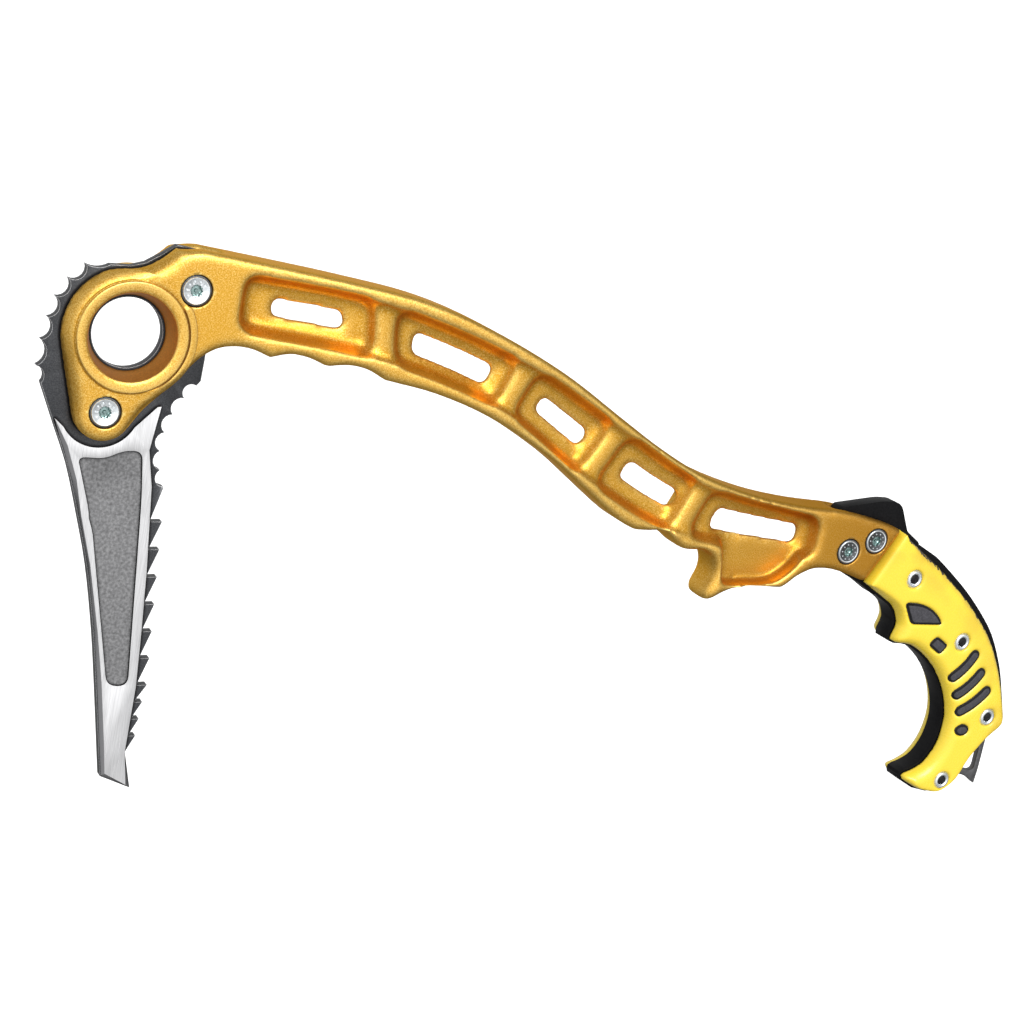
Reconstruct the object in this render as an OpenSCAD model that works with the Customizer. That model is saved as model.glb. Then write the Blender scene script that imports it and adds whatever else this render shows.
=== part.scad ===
// Ice climbing tool: forged curved shaft, toothed pick and an angled handle that can be set.
// Frame: origin at the centre of the head eye, +X towards the handle, +Z up, thickness along Y.

/* [Overall] */
// Distance along X from the head eye to the handle's pivot bolt
reach = 358; // [335:1:380]
// Drop from the head eye to the handle's pivot bolt
drop = 69; // [60:1:78]

/* [Head] */
// Radius of the head lobe round the eye
head_r = 26.5; // [26:0.5:28]
// Radius of the lower lobe round the lower pick bolt
lobe_r = 12; // [11:0.5:13]
// Diameter of the eye through the pick
eye_d = 28; // [24:0.5:29]
// Diameter of the eye where it opens on the outer faces
eye_rim_d = 36; // [34:0.5:38]
// Diameter of the raised ring round the eye
ring_d = 45; // [42:0.5:48]
// Diameter of the lower step outside the raised ring
step_d = 50; // [49:0.5:51]
// Height of each of the two steps round the eye
step_h = 0.7; // [0.4:0.1:1.2]
// Upper pick bolt, along X from the eye
upper_bolt_x = 22.5; // [21:0.5:24]
// Upper pick bolt, along Z from the eye
upper_bolt_z = 20.5; // [19:0.5:22]
// Lower pick bolt, along X from the eye
lower_bolt_x = -6.5; // [-8:0.5:-5]
// Lower pick bolt, along Z from the eye
lower_bolt_z = -30.5; // [-32:0.5:-29]
// Where the pick's slot ends, along X from the eye
slot_end = 33.5; // [33:0.5:36]

/* [Shaft] */
// Width of the shaft across its flanges
shaft_w = 21; // [19:0.5:24]
// Thickness of the web at the floor of the pockets
web_t = 3.2; // [2.4:0.2:5]
// How far the ribs lie below the flange faces
rib_drop = 3; // [2:0.5:4]
// Width of a rib at its top
rib_w = 7; // [5:0.5:9]
// Corner radius of the pockets
pocket_r = 7; // [5:0.5:9]
// How far the pocket walls lean in from rim to floor
pocket_draft = 2; // [1:0.25:3]
// Corner radius of the windows through the web
window_r = 2.6; // [1.5:0.2:3.2]

/* [Pick] */
// Thickness of the pick's tang and tooth strips
tang_t = 4; // [3.4:0.2:5]
// Thickness of the pick's raised blade
blade_t = 6; // [5.4:0.2:7]
// Depth of the panel sunk in each side of the blade
panel_depth = 0.6; // [0.3:0.1:0.8]
// Width of the bevel along the spine
spine_bevel = 2.2; // [1:0.2:3]
// Radius to the tips of the upper front teeth
front_tip_r = 31.4; // [31:0.2:33]
// Depth of the scallops between the front teeth
front_tooth_depth = 3; // [2:0.2:3.4]
// Depth of the scallops in the throat
throat_depth = 2.8; // [2:0.2:3.4]
// Gap between the head lobe and the raised blade
lobe_gap = 4; // [3:0.5:5]

/* [Handle] */
// Thickness of the core's tang in the fork
core_t = 8; // [7:0.5:9]
// Thickness of the core between the grip shells
grip_core_t = 10; // [9:0.5:12]
// Thickness of each grip shell
shell_t = 7.5; // [6.5:0.5:8.5]
// How far the core stands proud of the shells at the edges
core_proud = 3; // [1:0.5:3.5]
// Rounding of the shells, measured along the face
shell_round = 5; // [3.5:0.5:5.5]
// Radius of the tang's round end about the pivot
tang_end_r = 8.5; // [8:0.25:9]
// Angle that the handle can be set through
set_angle = 7; // [4:1:8]
// Thickness of the spike
spike_t = 3; // [2.5:0.5:4]
// How far the inlays lie below the face of the shells
inlay_drop = 0.5; // [0.2:0.1:1]

/* [Fasteners] */
// Diameter of the pick and handle bolts
bolt_d = 7; // [6:0.5:8]
// Diameter of a bolt or nut head
bolt_head_d = 12; // [11:0.5:13]
// Height of a bolt or nut head
bolt_head_h = 4.2; // [3.5:0.1:4.6]
// Outside diameter of a sleeve nut's barrel
nut_d = 9.6; // [9.2:0.2:10.4]
// How far the pick bolts' heads lie below the cheeks
head_sink = 0.8; // [0.4:0.1:1.2]
// How far the handle bolts' heads lie below the cheeks
tail_sink = 0.2; // [0.1:0.1:0.6]
// Outside diameter of the pivot bush
bush_d = 10; // [9:0.5:11]
// Diameter of a grip screw's shank
screw_d = 4; // [3.4:0.2:4.6]
// Diameter of a grip screw's head
screw_head_d = 9; // [8:0.2:9.4]
// Height of a grip screw's head
screw_head_h = 3; // [2.4:0.2:3.4]
// Outside diameter of a grip screw's sleeve nut
screw_nut_d = 6; // [5.6:0.2:6.4]

/* [Clearances] */
// Play each side of the pick in its slot
pick_play = 0.1; // [0.05:0.05:0.2]
// Play each side of the handle core in the fork
fork_play = 0.2; // [0.1:0.05:0.3]
// Radial play of bolts and nuts in their holes
bolt_play = 0.15; // [0.1:0.05:0.3]
// Radial running play of the tang on its bush
bush_play = 0.05; // [0.03:0.01:0.08]
// Radial play of bolt heads in their recesses
recess_play = 0.5; // [0.3:0.1:0.7]
// Gap between fork and shells at the top of the seam
seam_top = 0.5; // [0.4:0.1:1]
// Gap between fork and shells at the bottom of the seam
seam_bottom = 1.5; // [1.3:0.1:2]
// Gap round the inlays and the spike's root
inlay_play = 0.2; // [0.1:0.05:0.3]

/* [Hidden] */
$fn = 64;

// Colours
gold = "#d69a2c";
steel = "#8d9092";
zinc = "#c9cfd2";
black = "#232426";
yellow = "#f4dc3c";

// Small overlap that keeps cuts clear of coincident faces
cut = 0.5;
// Longest step along a sampled curve
fine_step = 4;
long_step = 8;

// Main places, as [x, z]
eye = [0, 0];
upper_bolt = [upper_bolt_x, upper_bolt_z];
lower_bolt = [lower_bolt_x, lower_bolt_z];
pivot = [reach, -drop];

// The shaft was drawn with its pivot here. Other reaches and drops stretch it between neck and tail.
drawn_pivot = [358, -69];
neck_x = 40;
tail_x = 335;
function stretch(x) = min(1, max(0, (x - neck_x) / (tail_x - neck_x)));
function on_shaft(p) = [p.x, p.y] + (pivot - drawn_pivot) * stretch(p.x);
function on_handle(p) = [p.x, p.y] + pivot - drawn_pivot;

// Curves
function mix(a, b, t) = a + (b - a) * t;
function tangent(p, i) =
    let (a = max(i - 1, 0), b = min(i + 1, len(p) - 1))
    (p[b] - p[a]) / (a == i || b == i ? norm(p[b] - p[a]) : norm(p[b] - p[i]) + norm(p[i] - p[a]));
function hermite(p, i, t) =
    let (h = norm(p[i + 1] - p[i]))
    (2 * t ^ 3 - 3 * t ^ 2 + 1) * p[i] + (t ^ 3 - 2 * t ^ 2 + t) * h * tangent(p, i)
    + (3 * t ^ 2 - 2 * t ^ 3) * p[i + 1] + (t ^ 3 - t ^ 2) * h * tangent(p, i + 1);
// Smooth curve through the points, without its last one
function curve(p, step) = [
    for (i = [0 : len(p) - 2])
        let (n = max(2, ceil(norm(p[i + 1] - p[i]) / step)))
        for (k = [0 : n - 1]) hermite(p, i, k / n)
];
// The same with n steps in every span, and with its last point, so that two sides of a loft match
function side(p, n) = concat(
    [for (i = [0 : len(p) - 2]) for (k = [0 : n - 1]) hermite(p, i, k / n)],
    [p[len(p) - 1]]
);
function turn(a) = [cos(a), sin(a)];
function arc(c, r, from, to, n) = [for (k = [0 : n]) c + r * turn(mix(from, to, k / n))];
// Hollow arc from tooth tip a towards tip b, without b, on the outer side of a counter-clockwise outline
function bite(a, b, depth, n = 7) =
    let (
        span = norm(b - a),
        r = (span ^ 2 / 4 + depth ^ 2) / (2 * depth),
        out = [b.y - a.y, a.x - b.x] / span,
        c = (a + b) / 2 + out * (r - depth),
        mid = atan2(-out.y, -out.x),
        half = asin(span / 2 / r)
    )
    [for (k = [0 : n - 1]) c + r * turn(mix(mid + half, mid - half, k / n))];
function backwards(p) = [for (i = [len(p) - 1 : -1 : 0]) p[i]];
// Polygon of [x, z, reach] corners, each rounded over its reach along both sides
function rounded(p, n = 5) = [
    for (i = [0 : len(p) - 1])
        let (
            b = [p[i].x, p[i].y],
            a = [p[(i + len(p) - 1) % len(p)].x, p[(i + len(p) - 1) % len(p)].y],
            c = [p[(i + 1) % len(p)].x, p[(i + 1) % len(p)].y],
            from = b + (a - b) / norm(a - b) * p[i].z,
            to = b + (c - b) / norm(c - b) * p[i].z
        )
        for (k = [0 : n]) mix(mix(from, b, k / n), mix(b, to, k / n), k / n)
];
// Moves an outline inwards by d times the weight of each point
function inset(p, d, weight = []) =
    let (n = len(p))
    [for (i = [0 : n - 1])
        let (t = p[(i + 1) % n] - p[(i + n - 1) % n], w = len(weight) == 0 ? 1 : weight[i])
        p[i] + [-t.y, t.x] / norm(t) * d * w];
// Places a flat outline at depth y
function at_depth(p, y) = [for (q = p) [q.x, y, q.y]];

// Solids
// Closed solid through outlines of equal length, from the lowest y to the highest
module skin(rings) {
    n = len(rings[0]);
    last = len(rings) - 1;
    polyhedron(
        points = [for (ring = rings) each ring],
        faces = concat(
            [for (i = [0 : n / 2 - 2]) [i, n - 1 - i, n - 2 - i, i + 1]],
            [for (j = [0 : last - 1])
                for (i = [0 : n - 1]) [j * n + i, j * n + (i + 1) % n, (j + 1) * n + (i + 1) % n]],
            [for (j = [0 : last - 1])
                for (i = [0 : n - 1]) [j * n + i, (j + 1) * n + (i + 1) % n, (j + 1) * n + i]],
            [for (i = [0 : n / 2 - 2]) [for (k = [i, i + 1, n - 2 - i, n - 1 - i]) last * n + k]]
        )
    );
}
// Extrudes a flat outline in the XZ plane from depth y0 to y1
module plate(y0, y1) {
    translate([0, y1, 0]) rotate([90, 0, 0]) linear_extrude(y1 - y0) children();
}
// Round bar along Y at [x, z]
module bar(p, d, y0, y1) {
    translate([p.x, y1, p.y]) rotate([90, 0, 0]) cylinder(d = d, h = y1 - y0);
}
// Draws the children on the near side and, mirrored, on the far side
module both_sides() {
    children();
    mirror([0, 1, 0]) children();
}

// Shaft outline
lobe_dir = atan2(lower_bolt_z, lower_bolt_x);
lobe_lean = acos((head_r - lobe_r) / norm(lower_bolt));
front_edge = 360 + lobe_dir - lobe_lean;
back_edge = 322;
finger_1 = [[28, -6.2], [35, -1.5], [44, 0], [51, -1], [57, -3.2]];
finger_2 = [[57, -3.2], [65, -1], [74, -1.9], [81.5, -4.6]];
finger_3 = [[81.5, -4.6], [91, -3.2], [100, -4.4], [108, -8]];
belly = [[108, -8], [132, -11.8], [159, -20], [191, -35.5], [211, -48.5], [230, -60.8], [240, -65]];
knuckle = [[240, -65], [249, -65], [257, -65], [262, -69.5], [268, -73.3], [278, -72.8]];
pommel_front = [[278, -72.8], [284, -75.5], [286.5, -84.5], [283.5, -92], [283.6, -97],
                [287.5, -98]];
pommel_heel = [[287.5, -98], [294, -92.5], [307, -88.8], [325, -88.8]];
tail_under = [[325, -88.8], [335, -81], [346, -78.4], [358, -79.8], [372.5, -84]];
tail_corner = [372.5, -84];
tail_top = [387.5, -57.2];
back = [[387.5, -57.2], [378, -54.3], [354, -50], [327, -48.6], [300, -45.2], [270, -37.6],
        [246, -27.4], [224, -15.8], [190, 2.4], [150, 18.4], [120, 26.6], [85, 31], [54, 33.8], [14, 37]];
crest = [[14, 37], [9, 32.6], [3.2, 28.6], [-2, 26.9]];
crest_end = 102;

shaft_outline = concat(
    arc(lower_bolt, lobe_r, front_edge, back_edge, 9),
    [for (p = curve(finger_1, fine_step)) on_shaft(p)],
    [for (p = curve(finger_2, fine_step)) on_shaft(p)],
    [for (p = curve(finger_3, fine_step)) on_shaft(p)],
    [for (p = curve(belly, long_step)) on_shaft(p)],
    [for (p = curve(knuckle, fine_step)) on_shaft(p)],
    [for (p = curve(pommel_front, fine_step)) on_shaft(p)],
    [for (p = curve(pommel_heel, fine_step)) on_shaft(p)],
    [for (p = curve(tail_under, fine_step)) on_shaft(p)],
    [for (k = [0 : 5]) on_shaft(mix(tail_corner, tail_top, k / 6))],
    [for (p = curve(back, long_step)) on_shaft(p)],
    curve(crest, fine_step),
    arc(eye, head_r, crest_end, front_edge, 16)
);

// Pockets: stations along the upper and lower rim, at the pocket end, the ribs and the other end
upper_rim = [
    for (p = [[41, 30], [103, 24.6], [174, 4.8], [225, -19.2], [274, -41.6], [339.5, -53.6]])
        on_shaft(p)
];
lower_rim = [
    for (p = [[41, 5.8], [107, -1], [164.5, -17.5], [210.5, -44.5], [263.5, -66.8], [339.5, -74.8]])
        on_shaft(p)
];
stations = len(upper_rim) - 1;
function rim(p, s) = let (i = max(0, min(floor(s), stations - 1))) hermite(p, i, s - i);
// Point at station s, a fraction t of the way up from the lower rim
function beam(s, t) = mix(rim(lower_rim, s), rim(upper_rim, s), t);
function bay_length(i) = norm(beam(i + 1, 0.5) - beam(i, 0.5));
function bay_height(i) = norm(rim(upper_rim, i + 0.5) - rim(lower_rim, i + 0.5));
// Outline in beam coordinates from station s0 to s1 and fraction t0 to t1, corners rounded, moved in by d
function bay(s0, s1, t0, t1, r, d) =
    let (
        i = max(0, min(floor((s0 + s1) / 2), stations - 1)),
        ds = d / bay_length(i),
        dt = d / bay_height(i),
        rs = max(r - d, 1) / bay_length(i),
        rt = max(r - d, 1) / bay_height(i),
        a = s0 + ds,
        b = s1 - ds,
        c = t0 + dt,
        e = t1 - dt,
        m = 3,
        q = 4
    )
    concat(
        [for (k = [0 : q]) beam(a + rs - rs * cos(90 * k / q), c + rt - rt * sin(90 * k / q))],
        [for (k = [1 : m - 1]) beam(mix(a + rs, b - rs, k / m), c)],
        [for (k = [0 : q]) beam(b - rs + rs * sin(90 * k / q), c + rt - rt * cos(90 * k / q))],
        [for (k = [0 : q]) beam(b - rs + rs * cos(90 * k / q), e - rt + rt * sin(90 * k / q))],
        [for (k = [1 : m - 1]) beam(mix(b - rs, a + rs, k / m), e)],
        [for (k = [0 : q]) beam(a + rs - rs * sin(90 * k / q), e - rt + rt * cos(90 * k / q))]
    );
face_y = -shaft_w / 2;
floor_y = -web_t / 2;
pocket_depth = floor_y - face_y;
floor_round = 3;
// Rings of a pocket: [depth below the face, how far the wall has moved in]
pocket_steps = [[-cut, -cut * pocket_draft / pocket_depth],
                [pocket_depth - floor_round, pocket_draft],
                [pocket_depth - floor_round * 0.35, pocket_draft + floor_round * 0.35],
                [pocket_depth, pocket_draft + floor_round]];
// Windows: [first station, last station, lower fraction, upper fraction]
windows = [[0.25, 0.73, 0.33, 0.61], [1.24, 1.82, 0.28, 0.64], [2.3, 2.82, 0.37, 0.64],
           [3.3, 3.86, 0.36, 0.66], [4.24, 4.9, 0.25, 0.64]];
pommel_pocket = [[288.5, -64, 4], [292, -89, 4], [321, -86.5, 5], [332, -77, 6], [336, -64, 4]];

module pocket(i) {
    near = i == 0 ? 0 : rib_w / 2 / bay_length(i);
    far = i == stations - 1 ? 0 : rib_w / 2 / bay_length(i);
    skin([for (p = pocket_steps) at_depth(bay(i + near, i + 1 - far, 0, 1, pocket_r, p[1]), face_y + p[0])]);
}
module pommel_pocket_cut() {
    plate(face_y - cut, floor_y) polygon([for (p = rounded(pommel_pocket)) on_shaft(p)]);
}
// Cut that lowers the ribs: a strip along the beam
module rib_cut() {
    margin = 0.05;
    from = 0.5;
    to = stations - 0.5;
    n = 4 * (stations - 1);
    plate(face_y - cut, face_y + rib_drop)
        polygon(concat(
            [for (k = [0 : n]) beam(mix(from, to, k / n), margin)],
            [for (k = [n : -1 : 0]) beam(mix(from, to, k / n), 1 - margin)]
        ));
}
module window(w) {
    plate(-web_t, web_t) polygon(bay(w[0], w[1], w[2], w[3], window_r, 0));
}
module shaft_body() {
    plate(face_y, -face_y) polygon(shaft_outline);
}
// Steps round the eye, as a turned piece about the eye's axis
module eye_steps() {
    bar(eye, step_d, face_y - step_h, -face_y + step_h);
    bar(eye, ring_d, face_y - 2 * step_h, -face_y + 2 * step_h);
}
eye_face_y = face_y - 2 * step_h;
pick_slot_y = tang_t / 2 + pick_play;
eye_wall_d = eye_d + 2;
module eye_cut() {
    rotate([90, 0, 0]) rotate_extrude()
        polygon([[0, eye_face_y - cut], [eye_rim_d / 2 + cut, eye_face_y - cut],
                 [eye_rim_d / 2, eye_face_y + cut], [eye_wall_d / 2, -pick_slot_y],
                 [eye_wall_d / 2, pick_slot_y], [eye_rim_d / 2, -eye_face_y - cut],
                 [eye_rim_d / 2 + cut, -eye_face_y + cut], [0, -eye_face_y + cut]]);
}
// Holes and recesses for a bolt from the near side and its sleeve nut from the far side
module bolt_cut(p, sink) {
    seat = -face_y - sink - bolt_head_h;
    recess_d = bolt_head_d + 2 * recess_play;
    bar(p, bolt_d + 2 * bolt_play, face_y, 0);
    bar(p, nut_d + 2 * bolt_play, 0, -face_y);
    bar(p, recess_d, face_y - cut, -seat);
    bar(p, recess_d, seat, -face_y + cut);
}
clamp = pivot + [14.8, 6];
fork_y = core_t / 2 + fork_play;
fork_end = pivot.x - tang_end_r - 0.8;
tall = 400;

module shaft() {
    color(gold) difference() {
        union() {
            shaft_body();
            eye_steps();
        }
        both_sides() {
            for (i = [0 : stations - 1]) pocket(i);
            pommel_pocket_cut();
            rib_cut();
        }
        for (w = windows) window(w);
        eye_cut();
        bolt_cut(upper_bolt, head_sink);
        bolt_cut(lower_bolt, head_sink);
        bolt_cut(pivot, tail_sink);
        bolt_cut(clamp, tail_sink);
        translate([slot_end - tall, -pick_slot_y, -tall / 2]) cube([tall, 2 * pick_slot_y, tall]);
        translate([fork_end, -fork_y, -tall / 2]) cube([tall, 2 * fork_y, tall]);
    }
}

// Pick
pick_tip = [28, -191.5];
pick_toe = [14.6, -186.2];
pick_notch = [23.7, -175];
spine = [[-30.6, -22.8], [-22.6, -40.5], [-16.2, -54.5], [-9.3, -75], [-3, -95.5], [3.2, -122.5],
         [7.4, -145], pick_toe];
// Blade edge at the tooth roots and line of the tooth tips, as [z, x]
root_line = [[-175, 23.7], [-146, 24.3], [-122, 23.1], [-87, 20.9], [-61, 18.5]];
tip_line = [[-168, 27.2], [-153, 28], [-145.5, 28.9], [-75, 25], [-61, 23.6]];
first_tooth_z = -61;
long_tooth = 14.4;
big_pitch = 11.7;
big_teeth = 7;
small_pitch = 7.5;
small_teeth = 3;
big_start_z = first_tooth_z - long_tooth;
small_start_z = big_start_z - big_teeth * big_pitch + big_pitch - small_pitch;
saw_z = concat([first_tooth_z], [for (i = [0 : big_teeth - 1]) big_start_z - i * big_pitch],
               [for (i = [0 : small_teeth - 1]) small_start_z - i * small_pitch]);
// Teeth of the throat behind the head lobe
throat = [[23.6, -61], [21, -54], [19.8, -46.2], [20.6, -38.5], [22.8, -31], [26.6, -24]];
throat_top = [32.2, -16.5];
// Front teeth: the last ones stand further out, where the tang runs into the spine
front_teeth = 6;
front_from = 128;
front_pitch = 15.6;
function front_tip(i) = (front_tip_r + 1.9 * max(0, i - 3) ^ 1.55) * turn(front_from + front_pitch * i);
front_crown = [-10, 25.6];
crown_depth = 1.2;
heel_depth = 2;
tang_back = slot_end - 1;
tang_top = [[tang_back, 34], [15, 36], [9.4, 31.8], [3.6, 27.9], [-2, 26]];

module saw_tooth(i) {
    z = saw_z[i];
    next = i < len(saw_z) - 1 ? saw_z[i + 1] : pick_notch.y;
    tooth_rake = 0.5;
    overlap = 2;
    root = lookup(z, root_line);
    next_root = lookup(next, root_line);
    top = i == 0 ? z + overlap : z - tooth_rake;
    polygon([[root - overlap, top], [next_root - overlap, next - tooth_rake], [next_root, next - tooth_rake],
             [lookup(z, tip_line), z]]);
}
module pick_profile() {
    polygon(concat(
        curve(spine, long_step),
        [pick_toe, pick_tip],
        [for (p = root_line) [p[1], p[0]]],
        [for (i = [0 : len(throat) - 2]) each bite(throat[i], throat[i + 1], throat_depth)],
        [throat[len(throat) - 1], throat_top, [tang_back, -8]],
        tang_top,
        bite(front_crown, front_tip(0), crown_depth),
        [for (i = [0 : front_teeth - 2]) each bite(front_tip(i), front_tip(i + 1), front_tooth_depth)],
        bite(front_tip(front_teeth - 1), spine[0], heel_depth)
    ));
    for (i = [0 : len(saw_z) - 1]) saw_tooth(i);
}
// Raised blade: stations down its two sides
blade_left = [[-24.6, -34.4], [-19.4, -47.2], [-13.8, -61], [-9.2, -75.3], [-3, -95.5], [3.2, -122.5],
              [7.4, -145], [12.4, -174], pick_toe];
blade_right = [[17.5, -28], [15.2, -46], [18.3, -61], [19.6, -76], [21.3, -95.5], [22.9, -122],
               [24, -146], [23.4, -175], pick_tip];
blade_ring = concat(blade_left, backwards(blade_right));
blade_weight = concat([for (p = blade_left) 1], [1.3], [for (i = [1 : len(blade_right) - 1]) 0]);
prong_foot = [4.5, -41.2];
prong_tip = [-25.2, -34.8];
panel = [[-13.4, -50.6, 4], [-2, -74, 8], [11.5, -146, 4.5], [20.6, -146, 4.5],
         [15, -66, 8], [12.6, -46.6, 3.5], [5, -46.8, 3.5], [-2, -50.6, 3.5]];

module blade() {
    half = blade_t / 2;
    buried = tang_t / 2 - 0.2;
    sunk = 0.3;
    difference() {
        skin([
            for (s = [[-half, spine_bevel], [-buried, sunk], [buried, sunk], [half, spine_bevel]])
                at_depth(inset(blade_ring, s[1], blade_weight), s[0])
        ]);
        plate(-tall, tall) {
            translate(lower_bolt) circle(lobe_r + lobe_gap);
            polygon([prong_foot, blade_right[0] - [1.2, 0], [10, 5], lower_bolt]);
            polygon([prong_tip, lower_bolt + (lobe_r + lobe_gap - 0.2) * turn(215), lower_bolt,
                     [-20, -15], [-33, -22]]);
        }
        both_sides() plate(-half - cut, -half + panel_depth) polygon(rounded(panel));
    }
}
module pick() {
    color(steel) difference() {
        union() {
            plate(-tang_t / 2, tang_t / 2) pick_profile();
            blade();
        }
        bar(eye, eye_d, -tall, tall);
        bar(upper_bolt, bolt_d + 2 * bolt_play, -tall, tall);
        bar(lower_bolt, bolt_d + 2 * bolt_play, -tall, tall);
    }
}

// Bolts and sleeve nuts across the shaft
socket_d = 5.6;
socket_depth = 2.4;
thread_play = 0.05;
module bolt(p, sink) {
    seat = face_y + sink + bolt_head_h;
    color(zinc) difference() {
        union() {
            bar(p, bolt_head_d, face_y + sink, seat);
            bar(p, bolt_d, seat - cut, -seat);
        }
        translate([p.x, 0, p.y]) rotate([90, 0, 0]) translate([0, 0, -face_y - sink - socket_depth])
            cylinder(d = socket_d, h = socket_depth + cut, $fn = 6);
    }
}
module sleeve_nut(p, sink, inner_y) {
    seat = -face_y - sink - bolt_head_h;
    color(zinc) difference() {
        union() {
            bar(p, bolt_head_d, seat, -face_y - sink);
            bar(p, nut_d, inner_y, seat + cut);
        }
        bar(p, bolt_d + 2 * thread_play, inner_y - cut, seat + cut);
    }
}
nut_gap = 0.1;
module upper_pick_bolt() { bolt(upper_bolt, head_sink); }
module lower_pick_bolt() { bolt(lower_bolt, head_sink); }
module upper_pick_nut() { sleeve_nut(upper_bolt, head_sink, pick_slot_y + nut_gap); }
module lower_pick_nut() { sleeve_nut(lower_bolt, head_sink, pick_slot_y + nut_gap); }
module pivot_bolt() { bolt(pivot, tail_sink); }
module clamp_bolt() { bolt(clamp, tail_sink); }
module pivot_nut() { sleeve_nut(pivot, tail_sink, fork_y + nut_gap); }
module clamp_nut() { sleeve_nut(clamp, tail_sink, fork_y + nut_gap); }
module pivot_bush() {
    color(zinc) difference() {
        bar(pivot, bush_d, -fork_y + nut_gap, fork_y - nut_gap);
        bar(pivot, bolt_d + 2 * bolt_play, -fork_y, fork_y);
    }
}

// Handle: stations down the front and the back edge of the grip
seam_dir = (tail_top - tail_corner) / norm(tail_top - tail_corner);
seam_out = [seam_dir.y, -seam_dir.x];
grip_front = [
    for (p = [tail_corner + seam_out * seam_bottom, [386.5, -91.6], [395, -96.8], [399.6, -105],
              [398.4, -113.8], [411, -115.8], [424, -123], [434, -132.8], [441, -144], [444.6, -156],
              [443.6, -168.5], [438.5, -178.5], [432, -183], [426.4, -185.5], [426.8, -188]])
        on_handle(p)
];
grip_back = [
    for (p = [tail_top + seam_out * seam_top, [402, -66], [414, -73.2], [425, -80.6], [437, -89.4],
              [449, -99.8], [460, -111.4], [470, -127], [477, -142], [481.5, -156], [473, -165.3],
              [464.5, -175.8], [458.6, -187], [449, -194.2], [436, -192.4]])
        on_handle(p)
];
grip_steps = 3;
grip_ring = concat(side(grip_front, grip_steps), backwards(side(grip_back, grip_steps)));
// Shares of a value at the stations of the front and the back edge, spread over the ring
function spread(w, n) = concat(
    [for (i = [0 : len(w) - 2]) for (k = [0 : n - 1]) mix(w[i], w[i + 1], k / n)],
    [w[len(w) - 1]]
);
function shares(front, back) = concat(spread(front, grip_steps), backwards(spread(back, grip_steps)));
// Less rounding at the seam, along the inner curve and where the hook runs out to its tip
front_round = [0.25, 0.65, 0.65, 0.6, 0.5, 0.45, 0.4, 0.4, 0.4, 0.4, 0.4, 0.4, 0.4, 0.3, 0.2];
back_round = [0.25, 0.8, 1, 1, 1, 1, 1, 1, 1, 1, 1, 0.75, 0.55, 0.45, 0.3];
grip_weight = shares(front_round, back_round);
// The core is flush at the seam and stands out most along the upper back
front_proud = [for (i = [0 : len(grip_front) - 1]) i == 0 ? 0 : 0.3];
back_proud = [0, 0.5, 1, 1, 1, 1, 1, 0.9, 0.7, 0.5, 0.35, 0.35, 0.35, 0.35, 0.35];
core_weight = shares(front_proud, back_proud);

// Screws, inlays and spike, in the handle's own place
screws = [for (p = [[400, -80.6], [439, -112], [467.4, -152], [448.4, -186.6]]) on_handle(p)];
inlay_slot_w = 5.8;
inlay_bow = 1;
inlay_slots = [[[448.7, -118.8], [438.9, -130.4]], [[455.5, -128.3], [444.2, -139.7]],
               [[462.1, -137.9], [448.7, -148.6]]];
inlay_wedge = [[397.6, -92.6, 2], [404.4, -103.4, 2], [423.6, -103.1, 2.4], [417.5, -96.2, 6],
               [408, -93, 4]];
inlay_diamond = [[418.2, -113.8, 1.8], [426.5, -118.8, 1.8], [430.2, -113.8, 1.8], [422.3, -109.3, 1.8]];
inlay_oval = [452.7, -159];
inlay_oval_size = [4.2, 3];
// Slot of width w from a to b, bowed to one side: two concentric arcs with round ends
function slot_ring(a, b, w) =
    let (
        span = norm(b - a),
        r = (span ^ 2 / 4 + inlay_bow ^ 2) / (2 * inlay_bow),
        out = [a.y - b.y, b.x - a.x] / span,
        c = (a + b) / 2 - out * (r - inlay_bow),
        mid = atan2(out.y, out.x),
        half = asin(span / 2 / r)
    )
    concat(
        arc(c, r + w / 2, mid - half, mid + half, 6),
        arc(c + r * turn(mid + half), w / 2, mid + half + 20, mid + half + 160, 7),
        arc(c, r - w / 2, mid + half, mid - half, 6),
        arc(c + r * turn(mid - half), w / 2, mid - half - 160, mid - half - 20, 7)
    );
oval_ring = [for (a = [0 : 15 : 345]) inlay_oval + [inlay_oval_size.x * cos(a), inlay_oval_size.y * sin(a)]];
inlays = [
    for (ring = concat([rounded(inlay_wedge), rounded(inlay_diamond), oval_ring],
                       [for (s = inlay_slots) slot_ring(s[0], s[1], inlay_slot_w)]))
        [for (p = ring) on_handle(p)]
];
spike_root = [[470.5, -155.5, 2], [476, -156, 2], [477.5, -161, 1], [472, -168.5, 1], [465.6, -177, 1],
              [461.4, -186, 1], [455, -183, 2], [459.5, -171.5, 3]];
spike_blade = [[473, -161, 1], [479.4, -162, 1], [479.5, -174, 2], [479.5, -185, 2], [478.9, -193, 0.6],
               [475, -190.3, 2.8], [469.5, -187.8, 2.8], [463, -187.3, 1], [459.5, -187.2, 1],
               [459, -182.6, 1], [466.5, -184.4, 2], [476.8, -186.2, 4], [476.7, -172, 2], [472.4, -167.4, 1]];
root_ring = backwards([for (p = rounded(spike_root)) on_handle(p)]);
spike_ring = backwards([for (p = rounded(spike_blade)) on_handle(p)]);

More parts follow.
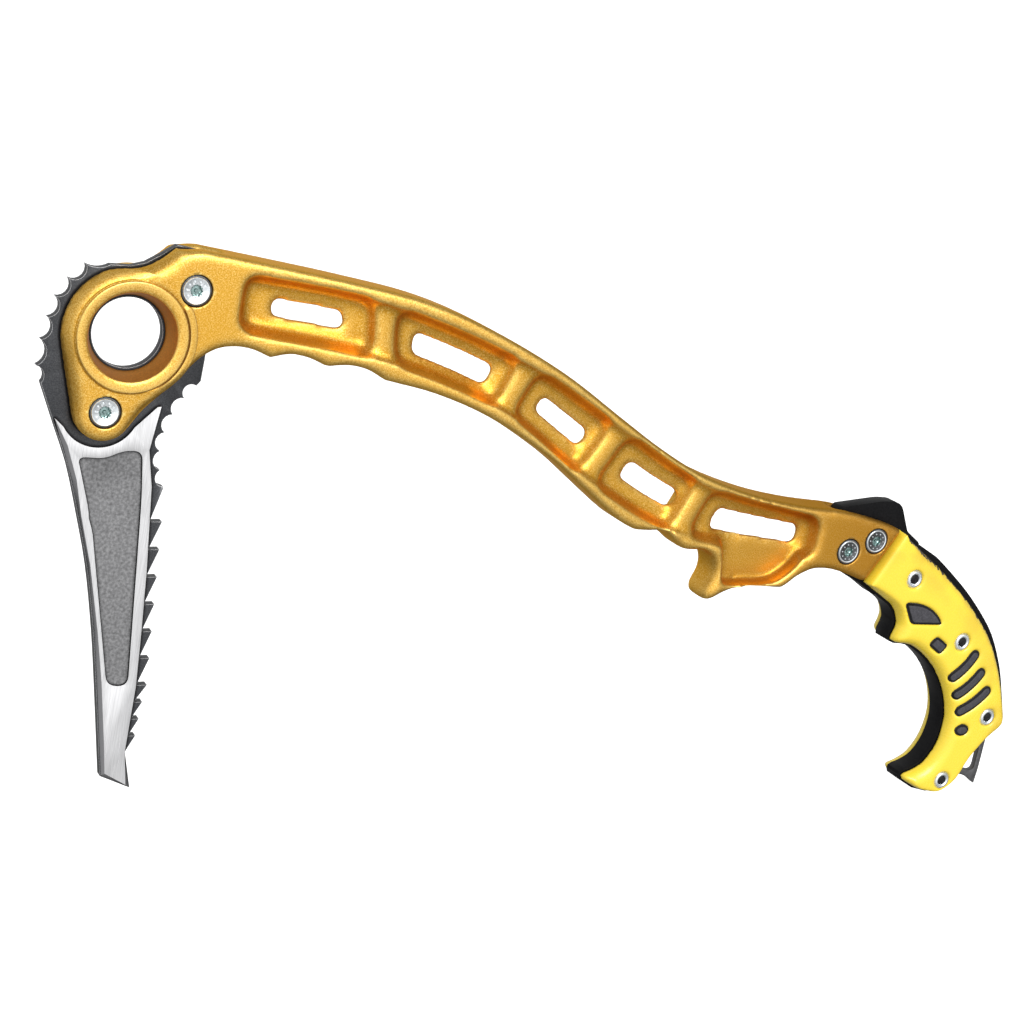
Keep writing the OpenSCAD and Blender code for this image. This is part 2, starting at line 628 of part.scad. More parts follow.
// Tang: fin above the fork, round end about the pivot and lower edge
tang = [[350.4, -63, 2], [357, -79, 5], [366, -82.9, 5], [374, -86.4, 2], [384, -92, 2], [402, -84, 2],
        [404, -64.5, 2], [394.8, -58.8, 1.2], [387.3, -44.6, 4.5], [377, -44.6, 3], [353.4, -49, 1.5],
        [351, -56, 2]];
clamp_arm = clamp - pivot;
clamp_r = norm(clamp_arm);
clamp_from = atan2(clamp_arm.y, clamp_arm.x);
clamp_slot = bolt_d / 2 + 2 * bolt_play;
slot_margin = 1;
module clamp_slot_outline() {
    from = clamp_from - slot_margin;
    to = clamp_from + set_angle + slot_margin;
    polygon(concat(
        arc(pivot, clamp_r + clamp_slot, from, to, 6),
        arc(pivot + clamp_r * [cos(to), sin(to)], clamp_slot, to + 15, to + 165, 10),
        arc(pivot, clamp_r - clamp_slot, to, from, 6),
        arc(pivot + clamp_r * [cos(from), sin(from)], clamp_slot, from + 195, from + 345, 10)
    ));
}
module handle_core() {
    half = core_t / 2;
    grip_half = grip_core_t / 2;
    slot_half = spike_t / 2 + inlay_play;
    color(black) difference() {
        union() {
            plate(-half, half) {
                polygon([for (p = rounded(tang)) on_handle(p)]);
                translate(pivot) circle(tang_end_r);
            }
            plate(-grip_half, grip_half) polygon(inset(grip_ring, -core_proud, core_weight));
        }
        plate(-tall, tall) clamp_slot_outline();
        plate(-slot_half, slot_half) {
            polygon(inset(root_ring, -inlay_play));
            polygon(inset(spike_ring, -inlay_play));
        }
        bar(pivot, bush_d + 2 * bush_play, -tall, tall);
        for (p = screws) bar(p, screw_d + 2 * bolt_play, -tall, tall);
    }
}
// Shell on the near side; its loft runs from the core to the rounded outer face
shell_y = grip_core_t / 2 + shell_t;
screw_sink = 1;
inlay_t = 2;
shell_steps = [[0, 1], [0.1, 0.72], [0.35, 0.4], [0.62, 0.17], [1, 0]];
round_depth = 1.3 * shell_round;
module shell_solid() {
    over = 0.3;
    intersection() {
        skin([
            for (s = concat([[-shell_y - over, 1.2 * shell_round]],
                            [for (k = shell_steps) [-shell_y + round_depth * k[0], shell_round * k[1]]],
                            [[-grip_core_t / 2 + over, 0]]))
                at_depth(inset(grip_ring, s[1], grip_weight), s[0])
        ]);
        translate([0, -shell_y, -tall]) cube([2 * tall, shell_t, 2 * tall]);
    }
}
module shell_cuts(hole_d) {
    for (p = screws) {
        bar(p, hole_d + 2 * bolt_play, -shell_y - cut, 0);
        bar(p, screw_head_d + 2 * bolt_play, -shell_y - cut, -shell_y + screw_sink + screw_head_h);
    }
    plate(-shell_y - cut, -shell_y + inlay_drop + inlay_t)
        for (ring = inlays) polygon(inset(ring, -inlay_play));
}
module near_grip_shell() {
    color(yellow) difference() {
        shell_solid();
        shell_cuts(screw_d);
    }
}
module far_grip_shell() {
    color(yellow) mirror([0, 1, 0]) difference() {
        shell_solid();
        shell_cuts(screw_nut_d);
    }
}
module inlay_set() {
    color(black) plate(-shell_y + inlay_drop, -shell_y + inlay_drop + inlay_t)
        for (ring = inlays) polygon(ring);
}
module near_inlays() { inlay_set(); }
module far_inlays() { mirror([0, 1, 0]) inlay_set(); }

screw_seat = -shell_y + screw_sink + screw_head_h;
screw_hole_d = 4.4;
screw_hole_depth = 2.2;
module grip_screw(p) {
    color(zinc) difference() {
        union() {
            bar(p, screw_head_d, screw_seat - screw_head_h, screw_seat);
            bar(p, screw_d, screw_seat - cut, -screw_seat);
        }
        bar(p, screw_hole_d, -shell_y, screw_seat - screw_head_h + screw_hole_depth);
    }
}
module grip_nut(p) {
    color(zinc) difference() {
        union() {
            bar(p, screw_head_d, -screw_seat, -screw_seat + screw_head_h);
            bar(p, screw_nut_d, grip_core_t / 2 + nut_gap, -screw_seat + cut);
        }
        bar(p, screw_d + 2 * thread_play, grip_core_t / 2, -screw_seat + cut);
    }
}
module grip_screw_1() { grip_screw(screws[0]); }
module grip_screw_2() { grip_screw(screws[1]); }
module grip_screw_3() { grip_screw(screws[2]); }
module grip_screw_4() { grip_screw(screws[3]); }
module grip_nut_1() { grip_nut(screws[0]); }
module grip_nut_2() { grip_nut(screws[1]); }
module grip_nut_3() { grip_nut(screws[2]); }
module grip_nut_4() { grip_nut(screws[3]); }

module spike() {
    color(black) difference() {
        plate(-spike_t / 2, spike_t / 2) {
            polygon(root_ring);
            polygon(spike_ring);
        }
        bar(screws[2], screw_d + 2 * bolt_play, -tall, tall);
        bar(screws[3], screw_d + 2 * bolt_play, -tall, tall);
    }
}

shaft();
pick();
upper_pick_bolt();
lower_pick_bolt();
upper_pick_nut();
lower_pick_nut();
pivot_bolt();
pivot_nut();
pivot_bush();
clamp_bolt();
clamp_nut();
handle_core();
near_grip_shell();
far_grip_shell();
near_inlays();
far_inlays();
grip_screw_1();
grip_screw_2();
grip_screw_3();
grip_screw_4();
grip_nut_1();
grip_nut_2();
grip_nut_3();
grip_nut_4();
spike();
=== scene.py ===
"""Dress the packed ice climbing tool: forged gold shaft, toothed pick, bolts, grip and studio."""

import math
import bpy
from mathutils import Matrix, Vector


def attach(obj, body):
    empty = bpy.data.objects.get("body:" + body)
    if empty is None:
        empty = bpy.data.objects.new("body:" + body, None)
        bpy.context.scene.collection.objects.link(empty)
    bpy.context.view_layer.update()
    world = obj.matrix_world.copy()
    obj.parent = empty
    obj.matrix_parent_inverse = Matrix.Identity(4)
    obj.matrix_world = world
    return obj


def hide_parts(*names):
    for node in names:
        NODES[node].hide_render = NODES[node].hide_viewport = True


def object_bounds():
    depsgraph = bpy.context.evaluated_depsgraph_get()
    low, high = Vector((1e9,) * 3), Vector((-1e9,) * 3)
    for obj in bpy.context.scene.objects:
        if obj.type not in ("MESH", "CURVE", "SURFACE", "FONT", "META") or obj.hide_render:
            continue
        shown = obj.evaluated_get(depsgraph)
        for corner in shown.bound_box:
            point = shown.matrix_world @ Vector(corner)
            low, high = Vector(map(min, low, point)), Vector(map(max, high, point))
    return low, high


bl_info = {
    "name": "Ice climbing tool",
    "version": (1, 0, 0),
    "blender": (4, 5, 0),
    "location": "View3D > Sidebar > Ice Tool",
    "description": "Builds the finish and the fine shapes of an ice climbing tool on its CAD frame",
    "category": "Object",
}

import bmesh
import bpy
from bpy.props import FloatProperty, FloatVectorProperty, IntProperty, PointerProperty
from mathutils import Matrix, Vector, kdtree

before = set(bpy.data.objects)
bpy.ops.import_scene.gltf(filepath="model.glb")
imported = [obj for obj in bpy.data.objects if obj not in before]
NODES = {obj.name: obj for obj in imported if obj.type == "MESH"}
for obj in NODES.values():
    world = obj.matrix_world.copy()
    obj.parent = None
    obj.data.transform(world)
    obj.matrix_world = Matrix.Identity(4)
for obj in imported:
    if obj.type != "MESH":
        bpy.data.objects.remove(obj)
CAD_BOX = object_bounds()

# Lengths below are in millimetres unless a comment says metres
MM = 0.001
JOIN_GAP = 0.01
TOOL = "tool"
HANDLE = "handle"
# Places on the tool as (x, z), the same as in the CAD model
EYE = (0.0, 0.0)
HEAD_BOLTS = ((22.5, 20.5), (-6.5, -30.5))
TAIL_BOLTS = ((358.0, -69.0), (372.8, -63.0))
SCREWS = ((400.0, -80.6), (439.0, -112.0), (467.4, -152.0), (448.4, -186.6))
# Heights from the middle plane: cheeks, shells, the shells' seat on the core, and screw heads
CHEEK_Y = 10.5
SHELL_Y = 12.5
GRIP_Y = 5.0
SCREW_Y = SHELL_Y - 1.0
# Bolt recesses in the cheeks: radius, and the floor's height at the head and at the tail
RECESS_R = 6.5
HEAD_FLOOR = 5.5
TAIL_FLOOR = 6.1

# Heights on the pick: above the tang, raised blade, ground face
PANEL_Y = 2.12
RAISED_Y = 2.3
FACE_Y = 2.8
# Uppermost notch of the pick's throat, and its radius
THROAT_NOTCH = (28.95, -21.53)
NOTCH_R = 3.4
# Blade's left edge as (z, x)
BLADE_EDGE = (
    (-46.4, -17.4), (-60.3, -11.7), (-74.6, -7.1), (-94.9, -0.9), (-122.1, 5.4), (-146.0, 10.6),
)
# How much further out that edge and the panel's left side lie, as (z, shift)
EDGE_SHIFT = (
    (-46.4, 0.0), (-60.3, 0.2), (-74.6, 1.1), (-94.9, 1.0), (-122.1, 0.6), (-146.0, 0.0),
)
PANEL_SHIFT = (
    (-54.5, 0.0), (-66.8, 1.9), (-75.7, 3.0), (-78.7, 2.6), (-81.9, 2.2), (-90.0, 0.0),
)
# How far inwards from the blade's edge each of the two shifts reaches
EDGE_REACH = 0.6
PANEL_REACH = 7.0

# Stretches along X as (start, rise, end, fall): pommel's thin rim, its front lobe, head's crest
RIM_STRETCH = (286.0, 6.0, 342.0, 8.0)
LOBE_STRETCH = (268.0, 8.0, 293.0, 6.0)
CREST_STRETCH = (-14.0, 14.0, 26.0, 12.0)
# Limits of those forms in height, as (level, fade)
RIM_TOP = (-74.0, 6.0)
LOBE_TOP = (-73.0, 8.0)
CREST_FOOT = (18.0, 12.0)
# Limits of the head's broad roll along X and in height, as (level, fade)
ROLL_END = (22.0, 14.0)
ROLL_FOOT = (-42.0, 14.0)
# Parts of the shaft that are eased further
BEAM_X = (30.0, 345.0)
WALL_Y = (1.0, 8.8)
WALL_GAP = 1.6
POMMEL_X = (262.0, 301.0)
POMMEL_TOP = -66.0
FLANGE_X = (200.0, 345.0)
FLANGE_Y = 8.0

# Middle of the hook's inner curve and of the finger rest, with their reach as (radius, fade)
HOOK = (405.0, -150.0)
HOOK_REACH = (50.0, 5.0)
FINGER_REST = (388.0, -112.0)
REST_REACH = (20.0, 6.0)
# Middle of the grip's back curve, where its wear begins as (level, fade), and the wear's width
BACK_ARC = (364.5, -178.5)
BACK_REACH = (98.0, 4.0)
BACK_FOOT = (-140.0, 30.0)
WEAR_WIDTH = 3.4
# Upper end of the seam between fork and shells, the direction away from it, and the bare stretch
SEAM_TOP = (386.0, -57.8)
SEAM_AWAY = (0.899, -0.436)
SEAM_REACH = (2.0, 4.0)
# Stretches in metres where the tail's deeper tone and the grip's soiling grow
TAIL_TONE = (0.27, 0.37)
SOILED_R = (0.100, 0.117)

# Studio in metres and degrees: room below the tool for the turned handle, the floor's outline as
# (radius, height), lights and the photo's camera
HANDLE_ROOM = 0.018
FLOOR_SWEEP = ((0.0, 0.0), (4.0, 0.0), (4.8, 0.12), (5.5, 0.5), (6.0, 1.2), (6.3, 2.2), (6.4, 8.0))
KEY_SPOT = (0.30, -1.2, 0.8)
KEY_TARGET = (0.22, 0.0, -0.05)
SUN_ANGLES = (48.0, -12.0, 0.0)
CAMERA_SPOT = (-0.21938, -0.74713, 0.14784)
CAMERA_ANGLES = (75.6642, -10.6919, -25.7215)

# Plain metals as (colour, roughness, metallic, grains per metre)
METALS = {
    "bore_gold": ("gold_bore", 0.42, 0.9, 1500.0),
    "zinc": ("zinc", 0.26, 1.0, 700.0),
    "zinc_dark": ("zinc_dark", 0.34, 0.9, 1400.0),
    "socket_steel": ("socket", 0.22, 1.0, 900.0),
    "spike_steel": ("spike", 0.38, 0.85, 600.0),
}
# Moulded plastics and rubbers as (colour, roughness, grains per metre, relief, gloss)
MOULDINGS = {
    # Dark discs on the grip screws: painted shade of their sockets
    "dark_socket": ("screw_socket_shade", 0.6, 800.0, 0.05, 0.18),
    "core_black": ("black", 0.38, 1200.0, 0.12, 0.09),
    # Lips round the inlays: partly rubber edge, partly painted shade of the gap
    "lip_black": ("lip", 0.5, 1500.0, 0.1, 0.18),
    "inlay_grey": ("inlay", 0.62, 1500.0, 0.3, 0.18),
}


def colour(name, text, default):
    """Colour property without alpha."""
    return FloatVectorProperty(
        name=name, description=text, default=default, subtype="COLOR", min=0.0, max=1.0
    )


def length(name, text, millimetres):
    """Length property in metres."""
    return FloatProperty(
        name=name, description=text, default=millimetres * MM, unit="LENGTH", min=0.0
    )


def count(name, text, default):
    """Whole number of passes."""
    return IntProperty(name=name, description=text, default=default, min=0)


class ToolFinish(bpy.types.PropertyGroup):
    """Colours of the tool's finishes."""

    gold: colour("Gold", "Anodised colour of the shaft", (0.74, 0.38, 0.036))
    # Lighter grains of the shaft, and the painted highlight along its convex edges
    gold_grain_and_edge_highlight: colour("Gold light", "Shaft's grains and edges", (0.98, 0.72, 0.24))
    # Darker grains of the shaft, and the painted shade in its hollows
    gold_grain_and_hollow_shade: colour("Gold deep", "Shaft's hollows", (0.46, 0.20, 0.022))
    gold_shadow: colour("Gold shadow", "Shaft's deepest corners", (0.13, 0.052, 0.010))
    gold_tail: colour("Gold tail", "Deeper tone towards the shaft's tail", (0.47, 0.19, 0.014))
    gold_sheen: colour("Gold sheen", "Tint of the shaft's reflections", (1.0, 0.72, 0.34))
    gold_bore: colour("Gold bore", "Cone inside the head eye", (0.52, 0.23, 0.045))
    # Ground face of the pick, and the painted highlight on its edges
    bright_steel_and_edge_highlight: colour("Bright steel", "Ground face of the pick", (0.86, 0.86, 0.87))
    brushed_steel: colour("Brushed steel", "Brush lines on that face", (0.66, 0.66, 0.67))
    spine_steel: colour("Spine steel", "Bevel along the pick's spine", (0.30, 0.30, 0.31))
    panel_low: colour("Panel low", "Darkest spots of the pick's panel", (0.16, 0.16, 0.162))
    panel_mid: colour("Panel middle", "Ground of the pick's panel", (0.25, 0.25, 0.255))
    panel_high: colour("Panel high", "Lightest spots of the pick's panel", (0.36, 0.36, 0.365))
    # Painted shade on the steep walls between the pick's levels
    pick_wall_shade: colour("Pick wall", "Walls between the pick's levels", (0.012, 0.012, 0.013))
    # Painted shade in the pick's inner corners
    pick_corner_shade: colour("Pick corner", "Inner corners of the pick", (0.014, 0.014, 0.015))
    dark_steel: colour("Dark steel", "Teeth and tang of the pick", (0.050, 0.052, 0.057))
    tooth_grain: colour("Tooth grain", "Lighter grain of the teeth", (0.085, 0.087, 0.092))
    zinc: colour("Zinc", "Bolts and screws", (0.74, 0.78, 0.80))
    zinc_dark: colour("Dark zinc", "Faces of the handle bolts", (0.10, 0.105, 0.11))
    socket: colour("Socket", "Inside of the bolts' sockets", (0.24, 0.33, 0.32))
    # Painted shade of the grip screws' sockets
    screw_socket_shade: colour("Screw socket", "Inside of the grip screws", (0.008, 0.008, 0.009))
    yellow: colour("Yellow", "Grip shells", (0.86, 0.64, 0.045))
    soil: colour("Soil", "Rubbed-in dirt along the shells' back edge", (0.46, 0.27, 0.03))
    grime: colour("Grime", "Worn line between shells and core", (0.045, 0.03, 0.012))
    black: colour("Black", "Core of the handle", (0.0035, 0.0035, 0.004))
    inlay: colour("Inlay", "Soft inlays of the grip", (0.046, 0.045, 0.051))
    # Lips round the inlays: partly rubber edge, partly painted shade of the gap
    lip: colour("Lip", "Lips round the inlays", (0.006, 0.006, 0.007))
    spike: colour("Spike", "Steel of the spike", (0.13, 0.13, 0.135))
    floor: colour("Floor", "Studio floor", (0.92, 0.92, 0.92))


class ToolShape(bpy.types.PropertyGroup):
    """Sizes of the fine shapes."""

    voxel: length("Voxel", "Grid of the forged shaft's surface", 1.0)
    forge_passes: count("Forge passes", "Smoothing passes over the shaft", 5)
    dish_passes: count("Dish passes", "Smoothing passes inside the pockets", 10)
    pommel_passes: count("Pommel passes", "Smoothing passes over the pommel", 24)
    pommel_round: length("Pommel round", "Further rounding of the pommel's front lobe", 2.8)
    flange_round: length("Flange round", "Rounding of the flanges' outer edges", 2.6)
    roll_width: length("Roll width", "Width of the broad roll round the head", 5.6)
    roll_depth: length("Roll depth", "How far the head's roll reaches towards the pick", 8.0)
    crest_drop: length("Crest drop", "Drop of the cheeks below the pick's spine", 1.7)
    pick_edge: length("Pick edge", "Bevel on the pick's edges", 0.3)
    small_edge: length("Small edge", "Bevel on bolts and nuts", 0.35)
    core_edge: length("Core edge", "Bevel on the handle core", 0.7)
    shell_voxel: length("Shell voxel", "Grid of the moulded shells' surface", 0.8)
    mould_passes: count("Mould passes", "Smoothing passes over the shells", 3)
    grip_roll_width: length("Grip roll width", "Width of the roll along the inner curve", 6.0)
    grip_roll_depth: length("Grip roll depth", "How far that roll reaches towards the core", 7.0)
    inlay_lip: length("Inlay lip", "Width of the dark lip round each inlay", 1.1)
    grain: FloatProperty(name="Grain", description="Grains per metre", default=1900.0, min=1.0)


def finish():
    """The colours set in the sidebar."""
    return bpy.context.scene.ice_tool_finish


def shape():
    """The sizes set in the sidebar."""
    return bpy.context.scene.ice_tool_shape


# Materials


def node_adder(tree):
    """Helper that adds a node to a node tree, with its inputs set or linked."""

    def add(kind, inputs=None, **settings):
        node = tree.nodes.new(kind)
        for key, value in settings.items():
            setattr(node, key, value)
        for key, value in (inputs or {}).items():
            if isinstance(value, bpy.types.NodeSocket):
                tree.links.new(value, node.inputs[key])
            else:
                node.inputs[key].default_value = value
        return node

    return add


def new_material(name):
    """Material with its Principled shader, and helpers that add and link nodes."""
    mat = bpy.data.materials.new(name)
    mat.use_nodes = True
    tree = mat.node_tree
    return mat, tree.nodes["Principled BSDF"], node_adder(tree), tree.links.new


def rgba(values):
    """Colour with an opaque alpha."""
    return (values[0], values[1], values[2], 1.0)


def own_coords(add):
    """The piece's own coordinates."""
    return add("ShaderNodeTexCoord").outputs["Object"]


def part_of(add, vector, axis):
    """One part of a vector."""
    return add("ShaderNodeSeparateXYZ", {"Vector": vector}).outputs[axis]


def ramp(add, source, stops):
    """Colour ramp over a value; stops are (place, colour or grey)."""
    node = add("ShaderNodeValToRGB", {"Fac": source})
    elements = node.color_ramp.elements
    while len(elements) < len(stops):
        elements.new(0.5)
    for element, (place_on_ramp, value) in zip(elements, stops):
        element.position = place_on_ramp
        element.color = rgba((value,) * 3 if isinstance(value, float) else value)
    return node.outputs["Color"]


def grade(add, source, low, high, first=0.0, last=1.0):
    """Value that goes from first to last while the source goes from low to high."""
    return ramp(add, source, ((low, first), (high, last)))


def between(add, value, low, high):
    """Share from 0 to 1 of the way between two values."""
    ends = {"Value": value, "From Min": low, "From Max": high}
    return add("ShaderNodeMapRange", ends).outputs["Result"]


def noise(add, coords, scale, detail=2.0, stretch=None):
    """Noise over coordinates, which are stretched where asked."""
    if stretch:
        coords = add("ShaderNodeMapping", {"Vector": coords, "Scale": stretch}).outputs["Vector"]
    inputs = {"Vector": coords, "Scale": scale, "Detail": detail}
    return add("ShaderNodeTexNoise", inputs).outputs["Fac"]


def mixed(add, factor, a, b):
    """Colour mix of a and b."""
    node = add("ShaderNodeMix", {"Factor": factor}, data_type="RGBA")
    for key, value in (("A", a), ("B", b)):
        socket = [s for s in node.inputs if s.name == key and s.type == "RGBA"][0]
        if isinstance(value, bpy.types.NodeSocket):
            node.id_data.links.new(value, socket)
        else:
            socket.default_value = rgba(value)
    return [s for s in node.outputs if s.type == "RGBA"][0]


def math_node(add, operation, a, b=0.0):
    """Result of one math operation."""
    return add("ShaderNodeMath", {0: a, 1: b}, operation=operation).outputs["Value"]


def times(add, a, b):
    """Product of two values."""
    return math_node(add, "MULTIPLY", a, b)


def openness(add, reach, samples):
    """How open the surroundings of a point are within a reach in millimetres."""
    inputs = {"Distance": reach * MM}
    return add("ShaderNodeAmbientOcclusion", inputs, samples=samples).outputs["AO"]


def bump(add, height, strength, distance):
    """Bump normal from a height, over a distance in millimetres."""
    inputs = {"Height": height, "Strength": strength, "Distance": distance * MM}
    return add("ShaderNodeBump", inputs).outputs["Normal"]


def sand_gold():
    """Gold anodising over a blasted grain, with a painted highlight on edges, painted shade in
    hollows and deepest corners, and a deeper tone at the tail.
    """
    look = finish()
    mat, shader, add, link = new_material("sand_gold")
    coords = own_coords(add)
    grain = noise(add, coords, shape().grain, 2.0)
    cloud = noise(add, coords, 45.0, 3.0)
    # Painted highlight on convex edges and painted shade in hollows, read from how pointed the
    # surface is
    edge = add("ShaderNodeNewGeometry").outputs["Pointiness"]
    tone = ramp(add, edge, ((0.42, look.gold_grain_and_hollow_shade), (0.495, look.gold), (0.56, look.gold_grain_and_edge_highlight)))
    light_grains = times(add, grade(add, grain, 0.5, 0.64), 0.65)
    dark_grains = times(add, grade(add, grain, 0.36, 0.48, 1.0, 0.0), 0.45)
    lit = mixed(add, light_grains, tone, look.gold_grain_and_edge_highlight)
    speckled = mixed(add, dark_grains, lit, look.gold_grain_and_hollow_shade)
    clouds = times(add, grade(add, cloud, 0.35, 0.7), 0.25)
    even = mixed(add, clouds, speckled, look.gold)
    # Painted shade in the deepest corners, where little is open round a point
    corner = times(add, grade(add, openness(add, 9.0, 4), 0.46, 0.88, 1.0, 0.0), 0.9)
    shaded = mixed(add, corner, even, look.gold_shadow)
    tail = times(add, between(add, part_of(add, coords, "X"), *TAIL_TONE), 0.62)
    link(mixed(add, tail, shaded, look.gold_tail), shader.inputs["Base Color"])
    link(grade(add, grain, 0.3, 0.7, 0.30, 0.46), shader.inputs["Roughness"])
    link(bump(add, grain, 0.45, 0.2), shader.inputs["Normal"])
    # Metal dulled in those corners, which deepens the painted shade
    dulled = math_node(add, "SUBTRACT", 1.0, times(add, corner, 0.6))
    link(dulled, shader.inputs["Metallic"])
    shader.inputs["Specular Tint"].default_value = rgba(look.gold_sheen)
    return mat


def pick_steel():
    """Ground face, dark forged panel, grey spine and dark teeth, told apart by depth and facing,
    with a painted highlight on the edges and painted shade on the steep walls and in inner corners.
    """
    look = finish()
    mat, shader, add, link = new_material("pick_steel")
    coords = own_coords(add)
    facing = add("ShaderNodeNewGeometry").outputs["True Normal"]
    across = math_node(add, "ABSOLUTE", part_of(add, facing, "Y"))
    depth = math_node(add, "ABSOLUTE", part_of(add, coords, "Y"))
    flat = math_node(add, "GREATER_THAN", across, 0.97)
    steep = math_node(add, "LESS_THAN", across, 0.25)
    face = times(add, math_node(add, "GREATER_THAN", depth, FACE_Y * MM), flat)
    panel = times(add, math_node(add, "GREATER_THAN", depth, PANEL_Y * MM), flat)
    wall = times(add, math_node(add, "GREATER_THAN", depth, RAISED_Y * MM), steep)
    brush = noise(add, coords, 1.0, 3.0, (2600.0, 2600.0, 90.0))
    forge = noise(add, coords, 800.0, 9.0)
    fine = noise(add, coords, 1900.0, 2.0)
    # Painted highlight on the edges, where the softened facing turns away from the true facing
    soft_facing = add("ShaderNodeBevel", {"Radius": 0.45 * MM}, samples=4).outputs["Normal"]
    bend = add("ShaderNodeVectorMath", {0: soft_facing, 1: facing}, operation="DOT_PRODUCT")
    edge_highlight = grade(add, bend.outputs["Value"], 0.80, 0.97, 0.75, 0.0)
    bright = mixed(add, grade(add, brush, 0.3, 0.7), look.bright_steel_and_edge_highlight, look.brushed_steel)
    spots = ((0.3, look.panel_low), (0.5, look.panel_mid), (0.7, look.panel_high))
    mottled = ramp(add, forge, spots)
    dark = mixed(add, grade(add, fine, 0.35, 0.7), look.dark_steel, look.tooth_grain)
    sloped = mixed(add, math_node(add, "MAXIMUM", flat, steep), look.spine_steel, dark)
    # Painted shade: steep walls above the tang's level are painted near black
    wall_shaded = mixed(add, wall, sloped, look.pick_wall_shade)
    plain = mixed(add, face, mixed(add, panel, wall_shaded, mottled), bright)
    edge_highlighted = mixed(add, edge_highlight, plain, look.bright_steel_and_edge_highlight)
    # Painted shade in the inner corners, where little is open round a point
    corner_shaded = mixed(add, grade(add, openness(add, 1.6, 8), 0.78, 0.98), look.pick_corner_shade, edge_highlighted)
    link(corner_shaded, shader.inputs["Base Color"])
    gloss = mixed(add, face, (0.44, 0.44, 0.44), grade(add, brush, 0.3, 0.7, 0.26, 0.40))
    link(gloss, shader.inputs["Roughness"])
    height = mixed(add, face, mixed(add, panel, fine, forge), brush)
    link(bump(add, height, 0.35, 0.2), shader.inputs["Normal"])
    shader.inputs["Metallic"].default_value = 0.92
    return mat


def grip_yellow():
    """Glossy moulded yellow, with soiling and a ragged worn line along the back edge."""
    look = finish()
    mat, shader, add, link = new_material("grip_yellow")
    coords = own_coords(add)
    cloud = noise(add, coords, 60.0, 5.0)
    fine = noise(add, coords, 900.0, 2.0)
    to_middle = (-BACK_ARC[0] * MM, 0.0, -BACK_ARC[1] * MM)
    flattened = {"Vector": coords, "Location": to_middle, "Scale": (1.0, 0.0, 1.0)}
    centred = add("ShaderNodeMapping", flattened).outputs["Vector"]
    radius = add("ShaderNodeVectorMath", {0: centred}, operation="LENGTH").outputs["Value"]
    dirt = times(add, between(add, radius, *SOILED_R), grade(add, cloud, 0.42, 0.66))
    soiled = mixed(add, times(add, dirt, 0.55), look.yellow, look.soil)
    rim = add("ShaderNodeAttribute", attribute_name="wear").outputs["Fac"]
    torn = times(add, noise(add, coords, 330.0, 4.0), 1.8)
    ragged = times(add, math_node(add, "ADD", rim, torn), 0.5)
    worn = mixed(add, grade(add, ragged, 0.7, 0.75), soiled, look.grime)
    link(worn, shader.inputs["Base Color"])
    link(grade(add, fine, 0.3, 0.7, 0.22, 0.32), shader.inputs["Roughness"])
    link(bump(add, fine, 0.06, 0.1), shader.inputs["Normal"])
    shader.inputs["Coat Weight"].default_value = 0.25
    shader.inputs["Coat Roughness"].default_value = 0.12
    return mat


def metal(name, tone, roughness, metallic, scale):
    """Plain metal with fine uneven gloss."""
    mat, shader, add, link = new_material(name)
    base = getattr(finish(), tone)
    grain = noise(add, own_coords(add), scale, 3.0)
    lighter = tuple(min(1.0, c * 1.25) for c in base)
    link(mixed(add, grade(add, grain, 0.35, 0.65), base, lighter), shader.inputs["Base Color"])
    uneven = grade(add, grain, 0.3, 0.7, roughness * 0.85, roughness * 1.2)
    link(uneven, shader.inputs["Roughness"])
    link(bump(add, grain, 0.12, 0.1), shader.inputs["Normal"])
    shader.inputs["Metallic"].default_value = metallic
    return mat


def moulded(name, tone, roughness, scale, relief, gloss):
    """Moulded plastic or rubber with a fine grain."""
    mat, shader, add, link = new_material(name)
    base = getattr(finish(), tone)
    grain = noise(add, own_coords(add), scale, 3.0)
    lighter = tuple(c * 1.6 + 0.002 for c in base)
    link(mixed(add, grade(add, grain, 0.4, 0.7), base, lighter), shader.inputs["Base Color"])
    uneven = grade(add, grain, 0.3, 0.7, roughness * 0.85, roughness * 1.15)
    link(uneven, shader.inputs["Roughness"])
    link(bump(add, grain, relief, 0.2), shader.inputs["Normal"])
    shader.inputs["Specular IOR Level"].default_value = gloss
    return mat


MAKERS = {"sand_gold": sand_gold, "pick_steel": pick_steel, "grip_yellow": grip_yellow}
MATERIALS = {}


def material(name):
    """Material by name, made once."""
    if name not in MATERIALS:
        if name in METALS:
            MATERIALS[name] = metal(name, *METALS[name])
        elif name in MOULDINGS:
            MATERIALS[name] = moulded(name, *MOULDINGS[name])
        else:
            MATERIALS[name] = MAKERS[name]()
    return MATERIALS[name]


# Shapes


def linked(name, data):
    """New object in the scene."""
    obj = bpy.data.objects.new(name, data)
    bpy.context.scene.collection.objects.link(obj)
    return obj


def mesh_of(bm, name):
    """Mesh from a bmesh, which is used up."""
    mesh = bpy.data.meshes.new(name)
    bm.to_mesh(mesh)
    bm.free()
    return mesh


def set_material(obj, *names):
    """Materials on the object in the order of its faces' places, shaded smooth."""
    if obj.data.materials:
        obj.data.materials.clear()
    for name in names:
        obj.data.materials.append(material(name))
    obj.data.shade_smooth()


def break_edges(obj, width):
    """Join the faces of a piece and bevel its edges."""
    weld = obj.modifiers.new("joined_faces", "WELD")
    weld.merge_threshold = JOIN_GAP * MM
    bevel = obj.modifiers.new("broken_edges", "BEVEL")
    bevel.width = width
    bevel.segments = 3
    bevel.limit_method = "ANGLE"
    bevel.angle_limit = math.radians(32.0)
    bevel.harden_normals = True
    bevel.use_clamp_overlap = True


def dress(node, name, width):
    """Finish on a CAD node: a material, joined faces and small bevels."""
    set_material(NODES[node], name)
    break_edges(NODES[node], width)


